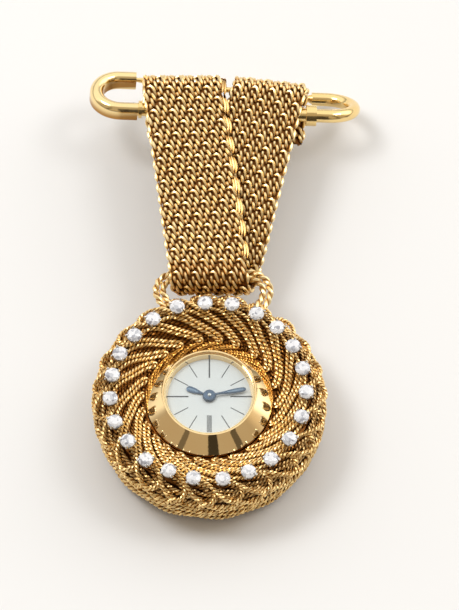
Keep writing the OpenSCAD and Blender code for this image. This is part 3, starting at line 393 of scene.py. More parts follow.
def piece(name, form, body, finishes, replaces=(), sharp=35):
    """A mesh or bmesh in metres becomes an object with its finish, riding on its body."""
    if isinstance(form, bmesh.types.BMesh):
        bmesh.ops.remove_doubles(form, verts=form.verts, dist=1e-7)
        bmesh.ops.recalc_face_normals(form, faces=form.faces)
        mesh = bpy.data.meshes.new(name)
        form.to_mesh(mesh)
        form.free()
    else:
        mesh = form
        mesh.name = name
    mesh.shade_smooth()
    mesh.set_sharp_from_angle(angle=math.radians(sharp))
    for finish in finishes if isinstance(finishes, tuple) else (finishes,):
        mesh.materials.append(FINISHES[finish].material)
    made = bpy.data.objects.new(name, mesh)
    bpy.context.scene.collection.objects.link(made)
    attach(made, body)
    if replaces:
        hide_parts(*replaces)


def wires(name, runs, radius, sides=6, closed=False, bases=None, reach=1.0, swell=None,
        depths=None):
    """Mesh of round wires along runs of points. Its relief says how far each point
    stands from its run's base line, as a share of reach, and its depth sets how much
    painted shade darkens it. Swell is a share of the radius at each point of a run;
    without it, open ends close."""
    curve = bpy.data.curves.new(name, "CURVE")
    curve.dimensions = "3D"
    curve.bevel_depth = radius * MM
    curve.bevel_resolution = sides // 2 - 2
    for run in runs:
        count = len(run)
        spline = curve.splines.new("POLY")
        spline.points.add(count - 1)
        spline.points.foreach_set("co", np.hstack([run * MM, np.ones((count, 1))]).ravel())
        if swell is not None:
            spline.points.foreach_set("radius", swell)
        elif not closed:
            spline.points.foreach_set("radius", np.r_[0.02, np.ones(count - 2), 0.02])
        spline.use_cyclic_u = closed
    holder = bpy.data.objects.new(name, curve)
    mesh = bpy.data.meshes.new_from_object(holder)
    bpy.data.objects.remove(holder)
    bpy.data.curves.remove(curve)
    places = np.zeros(len(mesh.vertices) * 3)
    mesh.vertices.foreach_get("co", places)
    base = np.repeat(np.concatenate(bases if bases is not None else runs), sides, axis=0)
    height = np.linalg.norm(places.reshape(-1, 3) / MM - base, axis=1) / reach
    relief = mesh.attributes.new("relief", "FLOAT", "POINT")
    relief.data.foreach_set("value", height.astype(np.float32))
    if depths is not None:
        depth = mesh.attributes.new("depth", "FLOAT", "POINT")
        dimmed = np.repeat(np.concatenate(depths), sides)
        depth.data.foreach_set("value", dimmed.astype(np.float32))
    return mesh


def unit(rows):
    """The same directions at length one."""
    return rows / np.linalg.norm(rows, axis=-1, keepdims=True)


def along(path, closed):
    """Unit tangents of a path of points."""
    if closed:
        return unit(np.roll(path, -1, axis=0) - np.roll(path, 1, axis=0))
    return unit(np.gradient(path, axis=0))


def lengths_along(path):
    """Length of the path up to each of its points."""
    return np.r_[0, np.cumsum(np.linalg.norm(np.diff(path, axis=0), axis=1))]


def resampled(path, step, closed=False):
    """The same path with evenly spaced points about a step apart."""
    path = np.array(path, float)
    if closed:
        path = np.vstack([path, path[:1]])
    reached = lengths_along(path)
    count = max(4, round(reached[-1] / step))
    wanted = np.linspace(0, reached[-1], count + 1)
    if closed:
        wanted = wanted[:-1]
    return np.stack([np.interp(wanted, reached, path[:, i]) for i in range(3)], axis=1)


def strands(path, pitch, lay, closed):
    """The two strands of a rope with a left-hand lay, each at a distance lay from the
    middle of a roughly level path."""
    tangent = along(path, closed)
    out = unit(np.cross(tangent, (0, 0, 1.0)))
    up = np.cross(out, tangent)
    reached = lengths_along(np.vstack([path, path[:1]]) if closed else path)
    whole = reached[-1]
    turns = max(1, round(whole / pitch)) if closed else whole / pitch
    turn = (reached[:len(path)] / whole * turns * 2 * math.pi)[:, None]
    return [path + lay * np.cos(turn + start) * out + lay * np.sin(turn + start) * up
        for start in (0, math.pi)]


# Of a rope's radius: the distance from its middle to a strand's, and a strand's radius
STRAND_LAY, STRAND_R = 0.43, 0.57


def twisted_ropes(name, paths, radius, pitch, closed=False, sides=6, depth=None):
    """Mesh of two-strand ropes along paths. Depth is a rule that gives a path's points
    their depths, which set how much painted shade darkens them."""
    runs = [run for path in paths for run in strands(path, pitch, radius * STRAND_LAY, closed)]
    bases = [path for path in paths for _ in range(2)]
    depths = depth and [depth(path) for path in bases]
    return wires(name, runs, radius * STRAND_R, sides, closed, bases, radius, depths=depths)


def lathe(profile, steps=128):
    """A profile of (radius, height) points, spun round the Z axis."""
    form = bmesh.new()
    verts = [form.verts.new((r * MM, 0, z * MM)) for r, z in profile]
    edges = [form.edges.new(pair) for pair in zip(verts, verts[1:])]
    bmesh.ops.spin(form, geom=verts + edges, cent=(0, 0, 0), axis=(0, 0, 1),
        angle=2 * math.pi, steps=steps, use_merge=True)
    return form


def smooth(t):
    """Rises from 0 to 1 with t, level at both ends."""
    t = np.clip(t, 0, 1)
    return t * t * (3 - 2 * t)


# Nest

COURSE = np.array(NEST_COURSE)
COURSE_REACH = lengths_along(COURSE)
COURSE_REACH -= COURSE_REACH[1]


def over_nest(reach, turn, height):
    """Points on the nest: reach along its course, turn round the dial, and a height
    above the course."""
    r, z = (np.interp(reach, COURSE_REACH, COURSE[:, i]) for i in (0, 1))
    step = 0.05
    ahead = [np.interp(reach + step, COURSE_REACH, COURSE[:, i]) for i in (0, 1)]
    behind = [np.interp(reach - step, COURSE_REACH, COURSE[:, i]) for i in (0, 1)]
    slope = unit(np.stack([a - b for a, b in zip(ahead, behind)], axis=-1))
    r = r - height * slope[..., 1]
    z = z + height * slope[..., 0]
    return np.stack([r * np.cos(turn), r * np.sin(turn), z], axis=-1)


# How steeply the petals leave the bezel's radii, in degrees: on average, how much that
# changes round the dial, and where it is greatest
PETAL_SLANT, SLANT_SWING, STEEPEST_AT = 31, 5, math.radians(155)


def petal(turn, end, loop_r, end_slant, tilt, brim, sink):
    """Closed path of one doubled rope: out from the bezel along a spiral that flattens
    towards the rim, round an open loop there, and back beside itself. Tilt lifts one side
    over the other, brim lifts the outer part, and sink lowers all but the end."""
    root = 0.02
    loop_rise = 1.9
    spine = np.linspace(root, end, 80)
    steep = PETAL_SLANT + SLANT_SWING * math.cos(turn - STEEPEST_AT)
    slant = np.radians(np.interp(spine, (root, root + 3.2, end), (steep, steep, end_slant)))
    radius = np.interp(spine, COURSE_REACH, COURSE[:, 0])
    gain = np.cumsum(np.gradient(spine) / (radius * np.tan(slant)))
    angle = turn + gain - np.interp(SEAT_REACH, spine, gain)
    phase = random.uniform(0, 6)
    waver = 0.10 * np.sin(1.5 * spine + phase) * smooth(spine)
    half = PAIR_HALF + (loop_r - PAIR_HALF) * smooth((spine - end + loop_rise) / loop_rise)
    bend = np.linspace(0, math.pi, 16)[1:-1]
    last = len(spine) - 1
    out_way = np.arange(last + 1)
    index = np.concatenate([out_way, np.full(len(bend), last), out_way[::-1],
        np.zeros(len(bend), int)])
    side = np.concatenate([half + waver, loop_r * np.cos(bend) + waver[-1],
        -half[::-1] + waver[::-1], -PAIR_HALF * np.cos(bend)])
    forward = np.concatenate([np.zeros(len(spine)), loop_r * np.sin(bend),
        np.zeros(len(spine)), -PAIR_HALF * np.sin(bend)])
    reach = spine[index] + side * np.cos(slant[index]) + forward * np.sin(slant[index])
    round_by = forward * np.cos(slant[index]) - side * np.sin(slant[index])
    turn = angle[index] + round_by / np.interp(reach, COURSE_REACH, COURSE[:, 0])
    lift = side * np.interp(reach, (0, end), (0.05, tilt)) + brim * smooth((reach - 4.6) / 2.0)
    lift = lift - np.interp(reach, (0, end - 2.5, end), (sink, sink, 0.0))
    lift = lift + 0.06 * np.sin(2.3 * spine[index] + 2 * phase)
    return resampled(over_nest(reach, turn, lift), 0.125, closed=True)


def bed_painted_shade(path):
    """Painted shade on the lower ropes: full under the upper petals, fading out at the rim,
    where they come up.
    """
    lit_r, shade_width = 15.5, 1.4
    return smooth((lit_r - np.hypot(path[:, 0], path[:, 1])) / shade_width)


def nest():
    """Upper petals that pass between the stones, over lower ones that reach further out,
    darkened by painted shade except near the rim.
    """
    step = 2 * math.pi / STONES
    upper = [petal(STONE_TURN + (i + 0.5 + random.uniform(-0.09, 0.09)) * step, end=6.0,
        loop_r=1.2 + random.uniform(-0.14, 0.14), end_slant=24, tilt=0.25, brim=0.35, sink=0.0)
        for i in range(STONES)]
    lower = [petal(STONE_TURN + (i + random.uniform(-0.12, 0.12)) * step, end=7.9,
        loop_r=1.1 + random.uniform(-0.12, 0.12), end_slant=19, tilt=0.2, brim=0.0, sink=0.34)
        for i in range(STONES)]
    piece("nest_rope_petals", twisted_ropes("petals", upper, ROPE_R, ROPE_PITCH, True),
        "watch_head", "nest_gold", ["nest_loops_rope"])
    piece("nest_rope_bed", twisted_ropes("bed", lower, ROPE_R, ROPE_PITCH, True,
        depth=bed_painted_shade), "watch_head", "nest_gold")


# Rings of rope down the side: reach, radius, height over the course, depth, which sets
# their painted shade
SIDE_RINGS = ((6.8, 0.36, -0.42, 0.5), (7.6, 0.36, -0.40, 0.5), (8.4, 0.40, -0.06, 0.0),
    (9.15, 0.34, -0.30, 0.7), (9.9, 0.40, 0.0, 0.0), (10.65, 0.34, -0.30, 0.7),
    (11.4, 0.40, 0.0, 0.0), (12.15, 0.34, -0.28, 0.7), (12.9, 0.40, 0.0, 0.0),
    (13.65, 0.34, -0.22, 0.4))


def nest_side():
    """Loosely laid rings of rope down the side, thick ones over thinner sunken ones that
    painted shade darkens. They waver less near the foot."""
    foot_reach = 14.2
    pitch = 1.5
    turn = np.linspace(0, 2 * math.pi, 720, endpoint=False)
    forms = {}
    for i, (middle, radius, height, depth) in enumerate(SIDE_RINGS):
        waver = 0.22 * np.sin(7 * turn + 2.1 * i) + 0.14 * np.sin(11 * turn + 1.3 * i)
        reach = middle + waver * min(1, (foot_reach - middle) / 2)
        lift = height + 0.12 * np.sin(13 * turn + i)
        ring = resampled(over_nest(reach, turn, lift), 0.15, True)
        forms.setdefault((radius, depth), []).append(ring)
    for number, ((radius, depth), rings) in enumerate(forms.items()):
        form = twisted_ropes("side", rings, radius, pitch, True,
            depth=lambda path: np.full(len(path), depth))
        piece("nest_rope_side_%d" % number, form, "watch_head", "nest_gold",
            ["nest_side_rope"] if number == 0 else ())


# Stones and their settings

def stone_places():
    """Matrices, in metres, that put a setting's axis at each stone."""
    for i, (turn, outward) in enumerate(STONE_SHIFTS):
        around = STONE_TURN + 2 * math.pi * i / STONES + math.radians(turn)
        yield Matrix.Rotation(around, 4, "Z") @ \
            Matrix.Translation(((STONE_RING_R + outward) * MM, 0, 0))


def brilliant_points():
    """Corners of a round brilliant cut, in stone radii above the girdle."""
    rings = ((8, 0.55, 0.34, 0), (8, 0.80, 0.22, 22.5), (16, 1.0, 0.05, 0), (16, 1.0, -0.03, 0),
        (8, 0.5, -0.42, 0))
    for count, r, z, start in rings:
        for i in range(count):
            a = math.radians(start + 360 * i / count)
            yield (r * math.cos(a), r * math.sin(a), z)
    yield (0, 0, -0.82)


def brilliants():
    """Every stone as the hull of its corners."""
    form = bmesh.new()
    for place in stone_places():
        lift = place @ Matrix.Translation((0, 0, GIRDLE_Z * MM))
        verts = [form.verts.new(lift @ (Vector(p) * STONE_R * MM)) for p in brilliant_points()]
        bmesh.ops.convex_hull(form, input=verts)
    piece("brilliants_cut", form, "watch_head", "brilliant", ["brilliants"], sharp=1)


def placed(points, place):
    """Points in millimetres, moved by a matrix in metres."""
    return np.array(points) @ np.array(place.to_3x3()).T + np.array(place.translation) / MM


def basket_ring(place, radius, height):
    """Level ring of wire round a stone's axis."""
    turns = [2 * math.pi * i / 28 for i in range(28)]
    return placed([(radius * math.cos(a), radius * math.sin(a), height) for a in turns], place)


# A claw's middle line: distance from the stone's axis, and height
CLAW = ((0.62, SETTING_FOOT_Z), (0.88, 9.95), (1.12, GIRDLE_Z - 0.15), (1.18, GIRDLE_Z + 0.05),
    (1.08, GIRDLE_Z + 0.22), (0.90, GIRDLE_Z + 0.28))


def basket_claw(place, turn):
    """One claw, at a turn round a stone's axis, bent over the stone's edge."""
    line = [(r * math.cos(turn), r * math.sin(turn), z) for r, z in CLAW]
    return resampled(placed(line, place), 0.13)


def settings():
    """Open tapered baskets: four claws and two rings to a stone."""
    places = list(stone_places())
    claws = [basket_claw(place, math.radians(45 + 90 * i)) for place in places for i in range(4)]
    galleries = [basket_ring(place, 0.93, GIRDLE_Z - 0.28) for place in places]
    feet = [basket_ring(place, 0.64, SETTING_FOOT_Z + 0.14) for place in places]
    piece("setting_claws", wires("claws", claws, 0.18), "watch_head",
        "white_gold", ["stone_settings"])
    # Painted shade: the two rings are white gold painted dark under each stone
    piece("setting_galleries", wires("galleries", galleries, 0.13, closed=True), "watch_head",
        "shaded_white")
    piece("setting_feet", wires("feet", feet, 0.15, closed=True), "watch_head",
        "shaded_white")


# Dial side

def bezel():
    """Polished cone with a slight swell, a narrow lip at its top and a seat for the
    crystal inside."""
    inner_r = DIAL_R + 0.05
    seat_r = OPENING_R - 0.15
    foot_z = BEZEL_Z + 0.12
    rise = RIM_Z - 0.17 - BEZEL_Z
    swell = 0.02
    cone_steps = 12
    profile = [(inner_r, BEZEL_Z), (BEZEL_R - 0.04, BEZEL_Z), (BEZEL_R, BEZEL_Z + 0.04),
        (BEZEL_R, foot_z)]
    for i in range(1, cone_steps + 1):
        t = i / cone_steps
        proud = swell * math.sin(math.pi * t)
        profile.append((BEZEL_R + (LIP_R - BEZEL_R) * t + proud, foot_z + rise * t + proud))
    profile += [(LIP_R - 0.05, RIM_Z), (OPENING_R + 0.06, RIM_Z), (OPENING_R, RIM_Z - 0.06),
        (OPENING_R, CRYSTAL_Z), (seat_r, CRYSTAL_Z), (seat_r, DIAL_Z + 0.02),
        (inner_r, DIAL_Z + 0.02), (inner_r, BEZEL_Z)]
    piece("bezel_polished", lathe(profile), "watch_head",
        "bezel_gold", ["bezel"])


# Printed lines: distances of their ends from the dial's centre, and their width
QUARTER_LINE = (2.95, 5.95, 0.19)
HOUR_LINE = (3.45, 5.7, 0.115)
HATCH_LINE = (2.95, 5.6, 0.065)
HATCH_W = 0.6
HATCH_LINES = 6
DOT_R = 0.07
DOT_PLACE_R = 5.95
PRINT_T = 0.02
PRINT_Z = DIAL_Z + 0.004 + PRINT_T / 2


def hour_turn(hour):
    """Turn of an hour's line on the dial, which hangs upside down."""
    return math.radians(-90 - 30 * hour)


def printed_line(form, line, turn, shift=0.0):
    """A line that points at the dial's centre, or is shifted sideways."""
    inner, outer, width = line
    place = Matrix.Rotation(turn, 4, "Z") @ Matrix.Translation(
        ((inner + outer) / 2 * MM, shift * MM, PRINT_Z * MM))
    scale = Matrix.Diagonal(((outer - inner) * MM, width * MM, PRINT_T * MM, 1))
    bmesh.ops.create_cube(form, size=1, matrix=place @ scale)


def dial_print():
    """Hour lines, with a hatched bar at twelve and a dot beyond some lines."""
    form = bmesh.new()
    for hour in range(1, 12):
        printed_line(form, HOUR_LINE if hour % 3 else QUARTER_LINE, hour_turn(hour))
    for i in range(HATCH_LINES):
        shift = HATCH_W * (i / (HATCH_LINES - 1) - 0.5)
        printed_line(form, HATCH_LINE, hour_turn(0), shift)
    for hour in (1, 2, 10, 11):
        a = hour_turn(hour)
        spot = Vector((DOT_PLACE_R * math.cos(a), DOT_PLACE_R * math.sin(a), PRINT_Z)) * MM
        bmesh.ops.create_cone(form, cap_ends=True, segments=12, radius1=DOT_R * MM,
            radius2=DOT_R * MM, depth=PRINT_T * MM, matrix=Matrix.Translation(spot))
    piece("dial_print", form, "watch_head", "dial_ink", ["dial_batons"])


HAND_T = 0.12


def hand_blade(length):
    """Leaf-shaped blade along X, crowned across, with a ridge in a second finish."""
    root = 0.3
    neck = 0.16
    belly = 0.88 * length ** -0.55
    form = bmesh.new()
    bmesh.ops.create_grid(form, x_segments=24, y_segments=6, size=0.5)
    for v in form.verts:
        t = v.co.x + 0.5
        across = v.co.y * 2
        half = neck + (belly - neck) * smooth((t - 0.18) / 0.55)
        half *= math.sqrt(max(0.0, 1 - max(0.0, (t - 0.86) / 0.14) ** 2)) * 0.96 + 0.04
        crown = HAND_T * (1 - 0.55 * across * across)
        v.co = Vector((root + (length - root) * t, across * half, crown)) * MM
    for face in form.faces:
        centre = face.calc_center_median() / MM
        on_ridge = 0.5 < centre.x / length < 0.93 and abs(centre.y) < 0.12
        face.material_index = 1 if on_ridge else 0
    for made in bmesh.ops.extrude_face_region(form, geom=form.faces[:])["geom"]:
        if isinstance(made, bmesh.types.BMVert):
            made.co.z = 0
    return form


def hand(name, body, length, hub_r, z, turn, node):
    """A blade and its domed hub, turned to the time that the photograph shows."""
    form = hand_blade(length)
    dome_z = HAND_T + 0.05
    profile = [(0, 0), (hub_r, 0), (hub_r, HAND_T * 0.5), (hub_r - 0.06, HAND_T),
        (hub_r * 0.45, dome_z), (0.24, dome_z), (0, dome_z)]
    hub = lathe(profile, 48)
    hub_mesh = bpy.data.meshes.new("hub")
    hub.to_mesh(hub_mesh)
    hub.free()
    form.from_mesh(hub_mesh)
    bpy.data.meshes.remove(hub_mesh)
    place = Matrix.Translation((0, 0, z * MM)) @ Matrix.Rotation(turn, 4, "Z")
    bmesh.ops.transform(form, matrix=place, verts=form.verts)
    piece(name, form, body, ("blued_steel", "blued_ridge"), [node])


def centre_cap():
    """Bright domed end of the hands' pin."""
    foot_z = MINUTE_HAND_Z + HAND_T
    profile = [(0, foot_z), (0.26, foot_z), (0.26, foot_z + 0.10), (0.18, foot_z + 0.17),
        (0, foot_z + 0.19)]
    piece("hand_pin", lathe(profile, 32), "minute", "steel")


# Ribbon

def ribbon_rows():
    """The strip from its left end over the bar, down the front, round the bail, up
    behind and over the bar again: middle, width, across and face at each row."""
    rows = []

    def row(x, y, z, width, yaw, roll, face):
        """A straight row: yaw and roll turn it, and face is the way its outside looks."""
        yaw, roll, face = map(math.radians, (yaw, roll, face))
        across = (math.cos(yaw) * math.cos(roll), math.sin(yaw) * math.cos(roll), -math.sin(roll))
        rows.append((x, y, z, width, *across, 0, math.cos(face), math.sin(face)))

    def bent_row(x, y, z, r, angle, width, yaw, roll, flip=0):
        """A row at an angle round a loop's axis; flip turns its outside to the axis."""
        a = math.radians(angle)
        row(x, y + r * math.cos(a), z + r * math.sin(a), width, yaw, roll, angle + flip)

    # Left return, behind the front strip and in line with it
    left_lean = (FRONT_FOOT_X - LEFT_TOP_X) / (LOOP_Y - BAIL_Y)
    for t in np.linspace(0, 0.97, 12):
        back = LEFT_RETURN * (1 - t)
        row(LEFT_TOP_X + left_lean * back, LOOP_Y - back, LEFT_LOOP_Z - LEFT_MID_R, RIBBON_W,
            0, 0, -90)
    # Left loop, over the bar
    for t in np.linspace(0, 1, 24):
        bent_row(LEFT_TOP_X, LOOP_Y, LEFT_LOOP_Z, LEFT_MID_R, -90 + 180 * t, RIBBON_W, 0, 0)
    # Front strip
    top = (LEFT_TOP_X, LOOP_Y, LEFT_LOOP_Z + LEFT_MID_R)
    foot = (FRONT_FOOT_X, BAIL_Y, BAIL_Z + FOLD_MID_R)
    for t in np.linspace(0.02, 0.98, 40):
        x, y, z = (a + (b - a) * t for a, b in zip(top, foot))
        row(x, y, z, RIBBON_W + (FOLD_W - RIBBON_W) * t, FRONT_YAW * math.sin(math.pi * t), 0, 90)
    # Fold round the bail
    for t in np.linspace(0, 1, 24):
        bent_row(FRONT_FOOT_X + (REAR_FOOT_X - FRONT_FOOT_X) * t * t, BAIL_Y, BAIL_Z, FOLD_MID_R,
            90 + 180 * t, FOLD_W, 0, 0)
    # Rear strip
    foot = (REAR_FOOT_X, BAIL_Y, BAIL_Z - FOLD_MID_R)
    top = (RIGHT_TOP_X, LOOP_Y, RIGHT_LOOP_Z + RIGHT_MID_R)
    for t in np.linspace(0.02, 0.98, 44):
        x, y = (a + (b - a) * t for a, b in zip(foot[:2], top[:2]))
        rise = t + REAR_BOW * math.sin(math.pi * t)
        yaw = REAR_YAW * math.sin(math.pi * min(t, 0.5)) \
            + (RIGHT_YAW - REAR_YAW) * max(0, 2 * t - 1)
        row(x, y, foot[2] + (top[2] - foot[2]) * rise, FOLD_W + (RIGHT_LOOP_W - FOLD_W) * t,
            yaw, RIGHT_ROLL * t * t, 270)
    # Right loop, over the bar, and right return
    for t in np.linspace(0, 1, 24):
        angle = 90 - 180 * t
        shift = RIGHT_SHIFT * math.cos(math.radians(angle))
        bent_row(RIGHT_TOP_X + shift, LOOP_Y, RIGHT_LOOP_Z, RIGHT_MID_R, angle, RIGHT_LOOP_W,
            RIGHT_YAW, RIGHT_ROLL, 180)
    for t in np.linspace(0.03, 1, 12):
        row(RIGHT_TOP_X, LOOP_Y - RIGHT_RETURN * t, RIGHT_LOOP_Z - RIGHT_MID_R, RIGHT_LOOP_W,
            RIGHT_YAW, RIGHT_ROLL, 90)
    return np.array(rows)


ROWS = ribbon_rows()
ROW_REACH = lengths_along(ROWS[:, :3])
RIBBON_L = ROW_REACH[-1]


def on_ribbon(v, share, shift, height):
    """Points at lengths v along the ribbon: a share of its width from the middle, a
    further shift in millimetres across, and a height over its middle surface."""
    v, share, shift, height = np.broadcast_arrays(*map(np.asarray, (v, share, shift, height)))
    at = [np.interp(v, ROW_REACH, ROWS[:, i]) for i in range(10)]
    middle = np.stack(at[:3], axis=1)
    across = unit(np.stack(at[4:7], axis=1))
    face = unit(np.stack(at[7:10], axis=1))
    return middle + (share * at[3] + shift)[:, None] * across + height[:, None] * face


def cord_share(i):
    """Place of a cord across the ribbon."""
    return ((i + 0.5) / CORDS - 0.5) * CORD_SHARE


# Wires of one stitch: points of (across, forward, height) from the stitch's own place
STITCH = (
    ((0, 0, 0.42), (0.32, -0.10, 0.62), (0.60, -0.13, 0.67), (0.80, 0.09, 0.67),
        (0.97, 0.48, 0.62), (1.11, 0.88, 0.50), (1.24, 1.36, 0.22)),
    ((0.50, 0.80, 0.30), (0.60, 1.03, 0.50), (0.77, 1.27, 0.60), (0.92, 1.62, 0.56),
        (1.07, 2.10, 0.24)),
    ((0.36, 1.55, 0.28), (0.42, 1.80, 0.50), (0.50, 2.12, 0.58), (0.60, 2.45, 0.50),
        (0.74, 2.88, 0.22)),
    ((0.12, 2.42, 0.24), (0.18, 2.66, 0.44), (0.24, 2.90, 0.46), (0.34, 3.16, 0.22)),
    ((0.14, 0.34, 0.30), (0.19, 0.55, 0.52), (0.25, 0.82, 0.56), (0.34, 1.18, 0.26)),
    ((-0.38, 0.78, 0.30), (-0.32, 0.98, 0.54), (-0.21, 1.30, 0.62), (-0.05, 1.72, 0.54),
        (0.09, 2.18, 0.24)))
STITCH_MIDDLE = (0.48, 1.5)


def rounded(path):
    """A path with its corners cut, in nine evenly spaced points."""
    path = np.array(path)
    cut = np.stack([path[:-1] * 0.75 + path[1:] * 0.25, path[:-1] * 0.25 + path[1:] * 0.75],
        axis=1).reshape(-1, 3)
    cut = np.vstack([path[:1], cut[1:-1], path[-1:]])
    reached = lengths_along(cut)
    wanted = np.linspace(0, reached[-1], 9)
    return np.stack([np.interp(wanted, reached, cut[:, i]) for i in range(3)], axis=1)


def ribbon_weave():
    """Hooked stitches on both faces, half a stitch apart from cord to cord. Round the
    bail they are pressed flat, by a share of their height."""
    end_gap = 0.15
    middle_across, middle_forward = STITCH_MIDDLE
    swell = np.array((0.4, 0.85, 1, 1, 1, 1, 1, 0.85, 0.4))
    for face_name, side, pressed in (("front", 1, 0.25), ("back", -1, 0.5)):
        runs, bases = [], []
        for i in range(CORDS):
            for start in np.arange(MOTIF_L * 0.5 * (i % 2), RIBBON_L + 2, MOTIF_L):
                aside = random.uniform(-0.04, 0.04) - middle_across
                onward = random.uniform(-0.05, 0.05) - middle_forward
                for wire in STITCH:
                    across, forward, lift = rounded(wire).T
                    spot = start + side * (forward + onward)
                    if spot.min() < end_gap or spot.max() > RIBBON_L - end_gap:
                        continue
                    from_fold = np.abs(spot - FRONT_END - FOLD_L / 2)
                    lift = lift * (1 - pressed * smooth(FOLD_L / 2 + 1.5 - from_fold))
                    runs.append(on_ribbon(spot, cord_share(i), across + aside, side * lift))
                    bases.append(on_ribbon(spot, cord_share(i), across + aside, side * -0.05))
        form = wires("weave", runs, 0.23, bases=bases, reach=0.86, swell=swell)
        piece("ribbon_weave_" + face_name, form, "ribbon", "weave_gold",
            ["mesh_ribbon"] if side > 0 else ())


# Half the length of an edge's wire, and its thickness at seven points
EDGE_HALF_L = 0.85
EDGE_SWELL = np.array((0.3, 0.78, 0.97, 1.0, 0.97, 0.78, 0.3))


def edge_wires():
    """Slim wires along both edges, but for the front strip's right edge, and the lines
    inside the ribbon that their relief is measured from."""
    spread = np.linspace(-EDGE_HALF_L, EDGE_HALF_L, len(EDGE_SWELL))
    bow = 0.10 * (1 - (spread / EDGE_HALF_L) ** 2)
    runs, bases = [], []
    for side in (-1, 1):
        for start in np.arange(0.9, RIBBON_L - 0.9, MOTIF_L / 2):
            if side > 0 and LEFT_RETURN < start < FRONT_END:
                continue
            spot = np.clip(start + spread, 0.2, RIBBON_L - 0.2)
            runs.append(on_ribbon(spot, side * 0.5, side * (bow - 0.28), 0))
            bases.append(on_ribbon(spot, side * 0.5, -side * 0.6, 0))
    return runs, bases


def turned_wires():
    """The broad turns on the front strip's right edge, of three wires each, and the lines
    that their relief is measured from."""
    turn_step = 3.2
    spread = np.linspace(-EDGE_HALF_L, EDGE_HALF_L, len(EDGE_SWELL))
    bow = 0.2 * (1 - (spread / EDGE_HALF_L) ** 2)
    runs, bases = [], []
    for start in np.arange(LEFT_RETURN, FRONT_END, turn_step):
        for aside in (-0.34, 0.0, 0.34):
            spot = start + 1.5 * spread + 0.5 * aside
            runs.append(on_ribbon(spot, 0.5, aside + bow - 0.25, 0.26 - 0.8 * aside * aside))
            bases.append(on_ribbon(spot, 0.5, aside - 0.25, -0.3))
    return runs, bases


def ribbon_selvedges():
    """The ribbon's edges, in slim wires and in broad turns."""
    slim, slim_bases = edge_wires()
    broad, broad_bases = turned_wires()
    piece("ribbon_selvedges", wires("selvedges", slim, 0.3, 8, bases=slim_bases, reach=0.6,
        swell=EDGE_SWELL), "ribbon", "ribbon_gold")
    piece("ribbon_selvedge_turns", wires("turns", broad, 0.20, 8, bases=broad_bases,
        reach=0.82, swell=EDGE_SWELL), "ribbon", "turn_gold")


def ribbon_core():
    """The inside of the weave, painted dark as the shade in its gaps: a flat band, extruded
    from row to row.
    """
    end_gap = 0.3
    half_w, half_t = 0.46, 0.10
    v = np.linspace(end_gap, RIBBON_L - end_gap, 420)
    corners = [on_ribbon(v, share, 0, height) * MM for share, height in
        ((-half_w, half_t), (half_w, half_t), (half_w, -half_t), (-half_w, -half_t))]
    form = bmesh.new()
    ring = [form.verts.new(line[0]) for line in corners]
    edges = [form.edges.new((ring[i], ring[(i + 1) % 4])) for i in range(4)]
    bmesh.ops.contextual_create(form, geom=edges)
    for i in range(1, len(v)):
        made = bmesh.ops.extrude_edge_only(form, edges=edges)["geom"]
        for vert in made:
            if isinstance(vert, bmesh.types.BMVert):
                line = min(corners, key=lambda line: (vert.co - Vector(line[i - 1])).length)
                vert.co = Vector(line[i])
        edges = [edge for edge in made if isinstance(edge, bmesh.types.BMEdge)
            and all(vert in made for vert in edge.verts)]
    bmesh.ops.contextual_create(form, geom=edges)
    piece("ribbon_core", form, "ribbon", "core_gold")


# Bail

# The bail's course on the level, from the nest at the left to the nest at the right
BAIL_COURSE = ((-5.5, 13.6), (-6.2, 14.8), (-6.8, 15.9), (-7.2, 17.0), (-6.9, 18.2),
    (-6.0, 19.1), (-4.6, 19.5), (0, 19.6), (4.6, 19.6), (6.6, 19.3), (7.8, 18.3),
    (8.2, 17.0), (7.9, 15.7), (7.2, 14.4), (6.4, 13.2))


def bail():
    """Two ropes side by side that rise from the nest and cross under the ribbon."""
    foot_rise = 0.35
    foot_share = 0.25
    line = resampled([(x, y, 0) for x, y in BAIL_COURSE], 0.3)
    for _ in range(3):
        line[1:-1] = (line[:-2] + line[1:-1] * 2 + line[2:]) / 4
    out = np.cross((0, 0, 1.0), along(line, False))
    from_middle = np.abs(np.linspace(-1, 1, len(line)))
    line[:, 2] = BAIL_Z + foot_rise * smooth((from_middle - 1 + foot_share) / foot_share)
    paths = [resampled(line + side * BAIL_ROPE_R * out, 0.1) for side in (1, -1)]
    piece("bail_ropes", twisted_ropes("bail", paths, BAIL_ROPE_R, 2.3, sides=8), "watch_head",
        "bail_gold", ["bail"])


# Finishes of the CAD's own pieces

CAD_FINISHES = {
    "polished_gold": ("case_band", "case_back", "pin_bar", "hood_collar",
        "hinge_collar", "pin_stem", "winding_crown"),
    "hood_gold_painted_reflection": ("catch_hood",),
    "bezel_gold": ("rehaut",),
    "shaded_gold": ("nest_shell", "nest_base"),
    "silvered_dial": ("dial",),
    "glass": ("crystal",),
    "brass": ("movement_ring", "main_plate", "barrel_drum", "centre_wheel", "third_wheel",
        "fourth_wheel", "balance_wheel", "minute_wheel", "hour_wheel"),
    "steel": ("crown_sleeve", "mainspring", "ratchet_wheel", "escape_wheel", "pallet_fork",
        "hairspring", "barrel_bridge", "train_bridge", "balance_cock", "bridge_screws",
        "cannon_pinion"),
}


def dress_cad_pieces():
    """The CAD's own meshes keep their shapes and get their finishes."""
    for finish, names in CAD_FINISHES.items():
        for name in names:
            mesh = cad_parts[name].data
            mesh.materials.clear()
            mesh.materials.append(FINISHES[finish].material)


# Floor and light

